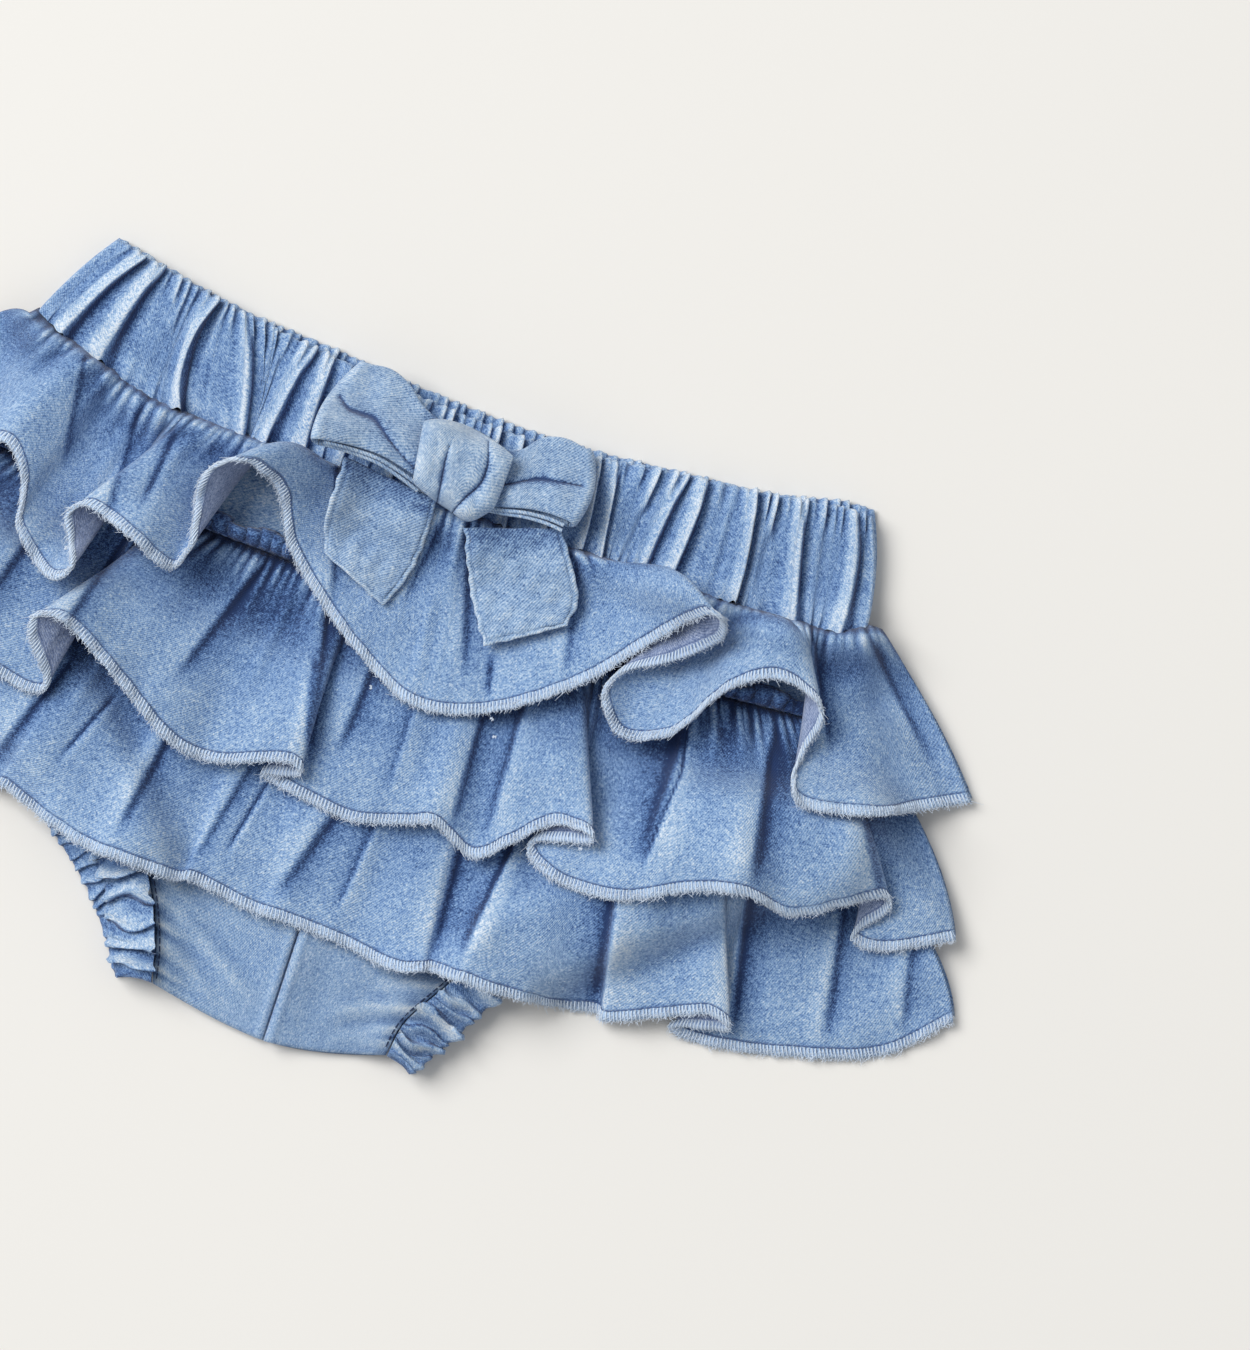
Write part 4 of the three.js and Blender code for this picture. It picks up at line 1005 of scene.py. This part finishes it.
def overlock(tier, grid, seed):
    """The crossing threads, the line of needle stitches and the fur of one hem."""
    place, tangent, inward, up = along_hem(grid, STITCH)
    draw = np.random.default_rng(seed)
    path = np.array(CROSSING)[None] * [STITCH, 1, 1] + draw.normal(0, 0.05, (len(place), len(CROSSING), 3))
    lines = place[:, None] + path[..., :1] * tangent[:, None]
    lines = lines + path[..., 1:2] * inward[:, None] + path[..., 2:] * up[:, None]
    crossing = tubes(f"hem_crossing_{tier}", lines, radius=0.19, sides=4, material=HEM_THREAD)
    place, tangent, inward, up = along_hem(grid, 2.1)
    run = np.array([[-0.8, 0.18], [-0.4, 0.36], [0.4, 0.36], [0.8, 0.18]])
    lines = (place + (HEM_BAND + 0.2) * inward)[:, None]
    lines = lines + run[:, :1] * tangent[:, None] + run[:, 1:] * up[:, None]
    needle = tubes(f"hem_needle_{tier}", lines, radius=0.13, sides=4, material=NEEDLE_THREAD)
    place, tangent, inward, up = along_hem(grid, FUR_PITCH)
    count = len(place)
    start = place + draw.uniform(-0.4, 1.9, (count, 1)) * inward + draw.normal(0.25, 0.3, (count, 1)) * up
    way = -inward + draw.normal(0, 0.9, (count, 1)) * tangent + draw.normal(0.2, 0.45, (count, 1)) * up
    reach = np.minimum(draw.gamma(3.2, 0.17, (count, 1)), 1.7)
    lines = np.stack([start, start + way * reach], axis=1)
    fur = tubes(f"hem_fur_{tier}", lines, radius=np.array([[0.085, 0.04]]), sides=3, material=FIBRE)
    return [crossing, needle, fur]


# The raw edge above the middle tier's seam, overlocked and frilled by the gathering, which shows
# through the arches of the top tier.
ALLOWANCE = 5.6  # of cloth beyond the seam
FRILLED = [(-66, -30), (76, 98)]  # where no upper tier presses it flat


def seam_frill(tier):
    root = np.linspace(-112, 112, 620)[:, None]
    v = even(8)[None]
    turn = root * 2 * math.pi / 3.7 + 1.6 * np.sin(root / 3.1)
    loose = sum(step(root, start, start + 5) * (1 - step(root, end - 5, end)) for start, end in FRILLED)
    x = root + 1.7 * np.sin(turn) * v * loose
    y = ROOTS[tier](root) + 0.4 + (ALLOWANCE + 1.2 * np.sin(root / 2.3)) * v * (1 - 0.25 * v)
    z = laid.rest(x, y, LAYER) + (0.5 + 1.6 * (1 + np.cos(turn)) * np.sin(v * 2.4)) * loose
    grid = np.stack([x, y, z], axis=-1)[:, ::-1]
    sides = [DENIM, DENIM_INSIDE]
    # The frill is painted dark all over, as shade under the top tier's arches.
    return shell(f"ruffle_{tier}_seam_frill", grid, sides, thickness=0.8, dark=0.8, holds=False)


for tier, seed in (("bottom", 51), ("middle", 61), ("top", 71)):
    before = laid.copy()
    made, grid = ruffle(tier, bloomers_laid if tier == "top" else before, seed)
    edging = overlock(tier, grid, seed + 5)
    if tier == "middle":
        edging.append(seam_frill(tier))
    around = float(lengths(grid, 0)[-1, -1]) / 1000 / HEM_STRETCH
    depth = float(lengths(grid, 1)[:, -1].mean()) / 1000

# Lint: teased threads that have balled up into specks. They are loose, and a few rest on the
# middle tier and beside it.
LINT = [(-4, -77), (27, -75), (29, -79), (58, -98.5), (-86, -68)]
draw = np.random.default_rng(91)
lines = []
for x, y in LINT:
    for turn, tilt in draw.uniform(0, 2 * math.pi, (7, 2)):
        along = np.array([math.cos(turn), math.sin(turn), 0.4 * math.sin(tilt)])
        start = np.array([x, y, float(laid.rest(np.array(x), np.array(y), 0.6)) + 0.4])
        lines.append([start - 0.5 * along, start + 0.15, start + 0.5 * along])
tubes("lint", np.array(lines), radius=0.1, sides=4, material=FIBRE)

# The bow: a tie of the same denim, cut double, sewn, turned and pressed. Two tails hang from it,
# two loops stand out to the sides, and a short wrap covers the middle. It is tacked to the casing.
BOW_SIDE = [
    (0, (52, 76, 122)),
    (0.28, (108, 140, 184)),
    (0.5, (146, 174, 208)),
    (0.72, (178, 200, 223)),
    (1, (222, 231, 241)),
]
BOW_DENIM = denim("washed_denim_bow", BOW_SIDE, twill_shows=0.12, cloudy=0.4)
BOW_PLY = 1.6  # thickness of the double cloth
KNOT_CROWN = 2.4  # the wrap stands this far off what it covers
TAILS = {  # left edge x and y, right edge x and y, from the knot down
    "left": [[-28, -25, -3, -28], [-28, -33, -2.6, -37], [-27.8, -41, -3.6, -47], [-25.5, -49, -7.5, -57]],
    "right": [
        [5.5, -32, 28.5, -25], [9, -40.5, 33.5, -32], [13.5, -49.5, 38, -40], [19.5, -58.5, 37.3, -47.2],
    ],
}


def rounded(share, power):
    """1 in the middle of a piece and falling to 0 at its two edges."""
    return (1 - np.abs(2 * share - 1) ** power) ** (1 / 2)


def bow_cloth(name, grid, thickness, dark):
    """A double ply with the right side of the cloth out on both faces."""
    return shell(name, grid, [BOW_DENIM, BOW_DENIM], thickness, dark=dark)


for side, rows in TAILS.items():
    share, v = np.meshgrid(even(66), even(72), indexing="ij")
    edges = smooth(rows, [0, 0.33, 0.67, 1], v)
    x = mix(edges[..., 0], edges[..., 2], share)
    y = mix(edges[..., 1], edges[..., 3], share)
    edge = np.minimum(np.minimum(share, 1 - share) * 25, (1 - v) * 33)
    crown = 0.5 * (1 - (2 * share - 1) ** 2) + 0.35 * waves(x, y, 17, 81) + 0.16 * waves(x, y, 5, 82)
    crown = crown - 0.3 * hump(edge - 1.3, 0.5)
    rough = 0.25 * (1 - step(edge, 0, 3))
    x = x + rough * waves(x, y, 4, 83)
    y = y + rough * waves(x, y, 4, 84)
    grid = np.stack([x, y, laid.rest(x, y, BOW_PLY) + crown], axis=-1)
    thickness = BOW_PLY * np.maximum(rounded(share, 14) * rounded(0.5 + v / 2, 20), 0.15)
    # Painted shadow at the tail's top where the knot covers it; paler along its edges.
    dark = 0.5 * (1 - step(v, 0.05, 0.35)) - 0.3 * (1 - step(edge, 0.3, 1))
    made = bow_cloth(f"bow_tail_{side}_cloth", grid, thickness, dark)
    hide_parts(f"bow_tail_{side}")

LOOPS = {  # top edge x and y, bottom edge x and y, from the knot out to the turn
    "left": [
        [-8, -9, -7.5, -24.5], [-14, -6.4, -13, -23], [-18.5, -2.6, -20, -21.6],
        [-24, -0.4, -28, -21.8], [-30, -0.8, -35.2, -22.8],
    ],
    "right": [
        [9, -11, 8, -25.5], [13, -9, 13.5, -24.2], [17, -4.6, 19, -22.8],
        [22.4, -3, 24.5, -22.2], [27.8, -3.8, 29.6, -22.4],
    ],
}
LOOP_CREASES = {
    "left": [
        [-34, -11.4], [-31, -13.6], [-27.5, -13.8], [-24, -14], [-19.5, -17.2], [-15, -20], [-8, -23.6],
    ],
    "right": [[8, -20.6], [13, -18.4], [18.5, -15.4], [24, -14.2], [30, -13.2]],
}
CREASE_WIDTH = 0.7  # half of it, in the bow's cloth
LOOP_GAP = 1.6  # air inside the flattened loop
LOOP_SINK = 2.1  # the loop sags this far into the casing's gathers
LOOP_OUT = 50  # rows of points along each face of a loop
LOOP_TURN = 12  # and round its end
LOOP_ROWS = 52


def bow_loop(side):
    tip = -1 if side == "left" else 1
    under = laid.copy()  # a loop is stiffer than one ply and bridges what is under it
    under.soft = spread(spread(under.soft, under.REACH, np.max), under.REACH, np.mean)
    radius = (BOW_PLY + LOOP_GAP) / 2
    out = np.concatenate([even(LOOP_OUT), np.ones(LOOP_TURN), np.linspace(1, 0, LOOP_OUT)])
    turn = math.pi * np.concatenate([np.zeros(LOOP_OUT), even(LOOP_TURN), np.ones(LOOP_OUT)])
    back = turn[:, None] / math.pi
    across = even(LOOP_ROWS)[None]
    edges = curve(LOOPS[side], out)
    x = mix(edges[:, :1], edges[:, 2:3], across) + tip * radius * np.sin(turn)[:, None]
    x = x + 2.4 * tip * np.sin(across * math.pi) * out[:, None] ** 4
    y = mix(edges[:, 1:2], edges[:, 3:], across) - 1.5 * back * across
    base = under.rest(mix(x, edges[:, :1], 0.1), y, BOW_PLY) - LOOP_SINK
    swell = 1.3 * np.sin(out * math.pi * 0.8)[:, None] * np.sin(across * math.pi)
    crease = drawn_in(x, y, [LOOP_CREASES[side]], CREASE_WIDTH)
    valley = drawn_in(x, y, [LOOP_CREASES[side]], 3.4 * CREASE_WIDTH)
    swell = swell + 0.35 * waves(x, y, 9, 87) - 0.7 * crease - 0.5 * valley
    z = base + radius * (1 + np.cos(turn))[:, None] + swell * (1 - back)
    grid = np.stack([x, y, z], axis=-1)
    thickness = (BOW_PLY - 0.5) * np.maximum(rounded(across, 16), 0.2) + 0 * x
    # Painted shade in the loop's creases and painted shadow where it meets the knot.
    dark = (1.1 * crease + 0.2 * valley) * (back < 0.5) + 0.45 * (1 - step(out, 0.05, 0.3))[:, None]
    made = bow_cloth(f"bow_loop_{side}_cloth", grid[::tip], thickness, dark[::tip])
    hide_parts(f"bow_loop_{side}")
    front, behind = grid[:LOOP_OUT, -1], grid[-LOOP_OUT:, -1][::-1]
    fan = even(LOOP_OUT)[::tip, None]
    lines = np.array([mix(front, behind, 0.25 * k) - fan**0.7 * [0, 1.05 * k, 0] for k in (1, 2)])[:, 2:-2]
    plies = tubes(
        f"bow_loop_{side}_plies", lines, radius=0.5, sides=8, material=BOW_DENIM, wear=0.3
    )


bow_loop("left")
bow_loop("right")

KNOT_EDGES = {  # plan points along the wrap's upper and lower edges
    "upper": [[-12, -10.3], [-8, -8.7], [-2, -8.2], [5, -9.4], [11.6, -11.8]],
    "lower": [[-9.8, -25.4], [-4.5, -27.4], [0.5, -28.8], [6, -30], [11, -25.2]],
}
KNOT_CREASES = [
    [[-4.2, -14.5], [-3.9, -19], [-3.2, -24], [-2.6, -29]],
    [[4.6, -10.5], [6.2, -15.5], [6, -20.5], [3.6, -25], [1.8, -29]],
]
share, down = np.meshgrid(even(78), even(70), indexing="ij")
plan = mix(curve(KNOT_EDGES["upper"], share), curve(KNOT_EDGES["lower"], share), down[..., None])
x, y = plan[..., 0], plan[..., 1]
crown = KNOT_CROWN * (1 - (2 * share - 1) ** 6) * (1 - (2 * down - 1) ** 8)
crease = drawn_in(x, y, KNOT_CREASES, CREASE_WIDTH)
valley = drawn_in(x, y, KNOT_CREASES, 3 * CREASE_WIDTH)
on_cloth = laid.rest(x, y, LAYER)
bridge = mix(on_cloth[:1], on_cloth[-1:], share) - 0.8
z = mix(on_cloth, np.maximum(on_cloth, bridge), 1 - np.abs(2 * down - 1) ** 4)
z = z + crown + 0.3 * waves(x, y, 7, 88) - 0.9 * crease - 0.4 * valley
# Painted shade in the knot's creases; the rest a little paler.
dark = 1.1 * crease + 0.15 * valley - 0.15
grid = np.stack([x, y, z], axis=-1)
knot = bow_cloth("bow_knot_cloth", grid, thickness=0.9, dark=dark)
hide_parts("bow_knot")

# The stage: a plain pale table under soft window light from the photograph's upper left, and the
# camera straight above, turned so that the garment lies askew as it does in the photograph.
FRAME_HEIGHT = 0.3375  # of the table, in metres, that the photograph's height takes in
CAMERA_HEIGHT = 2.4
TURN = math.radians(18.4)
VIEW_CENTRE = (0.0549, 0.0253)

table_top = bpy.data.meshes.new("table_top")
corners = [(4 * x, 4 * y, -0.0001) for x, y in ((-1, -1), (1, -1), (1, 1), (-1, 1))]
table_top.from_pydata(corners, [], [(0, 1, 2, 3)])
table = put_down("table_top", table_top)
paint = Finish("pale_table", roughness=0.8, sheen=0)
place = paint.node("ShaderNodeTexCoord", {}, {}, output=3)
paint.put(
    paint.shader.inputs["Base Color"],
    paint.blend(paint.noise(place, 6, 2), linear((235, 233, 229)), linear((237, 235, 231))),
)
table_top.materials.append(paint.material)

azimuth = math.radians(142) + TURN
elevation = math.radians(49)
distance = 5
window = bpy.data.lights.new("window", "AREA")
window.size = 3.1
window.energy = 238
window.color = (1, 0.985, 0.96)
lamp = put_down("window", window)
flat = distance * math.cos(elevation)
lamp.location = (flat * math.cos(azimuth), flat * math.sin(azimuth), distance * math.sin(elevation))
lamp.rotation_euler = (math.pi / 2 - elevation, 0, azimuth + math.pi / 2)
world = bpy.data.worlds.new("room")
world.use_nodes = True
world.node_tree.nodes["Background"].inputs["Color"].default_value = (0.96, 0.98, 1, 1)
world.node_tree.nodes["Background"].inputs["Strength"].default_value = 0.42
bpy.context.scene.world = world
bpy.context.scene.view_settings.view_transform = "Standard"

camera_data = bpy.data.cameras.new("camera")
camera_data.sensor_width = 36
camera_data.lens = camera_data.sensor_width * CAMERA_HEIGHT / FRAME_HEIGHT
camera_data.clip_end = 20
camera = put_down("camera", camera_data)
camera.location = (*VIEW_CENTRE, CAMERA_HEIGHT)
camera.rotation_euler = (0, 0, TURN)
bpy.context.scene.camera = camera
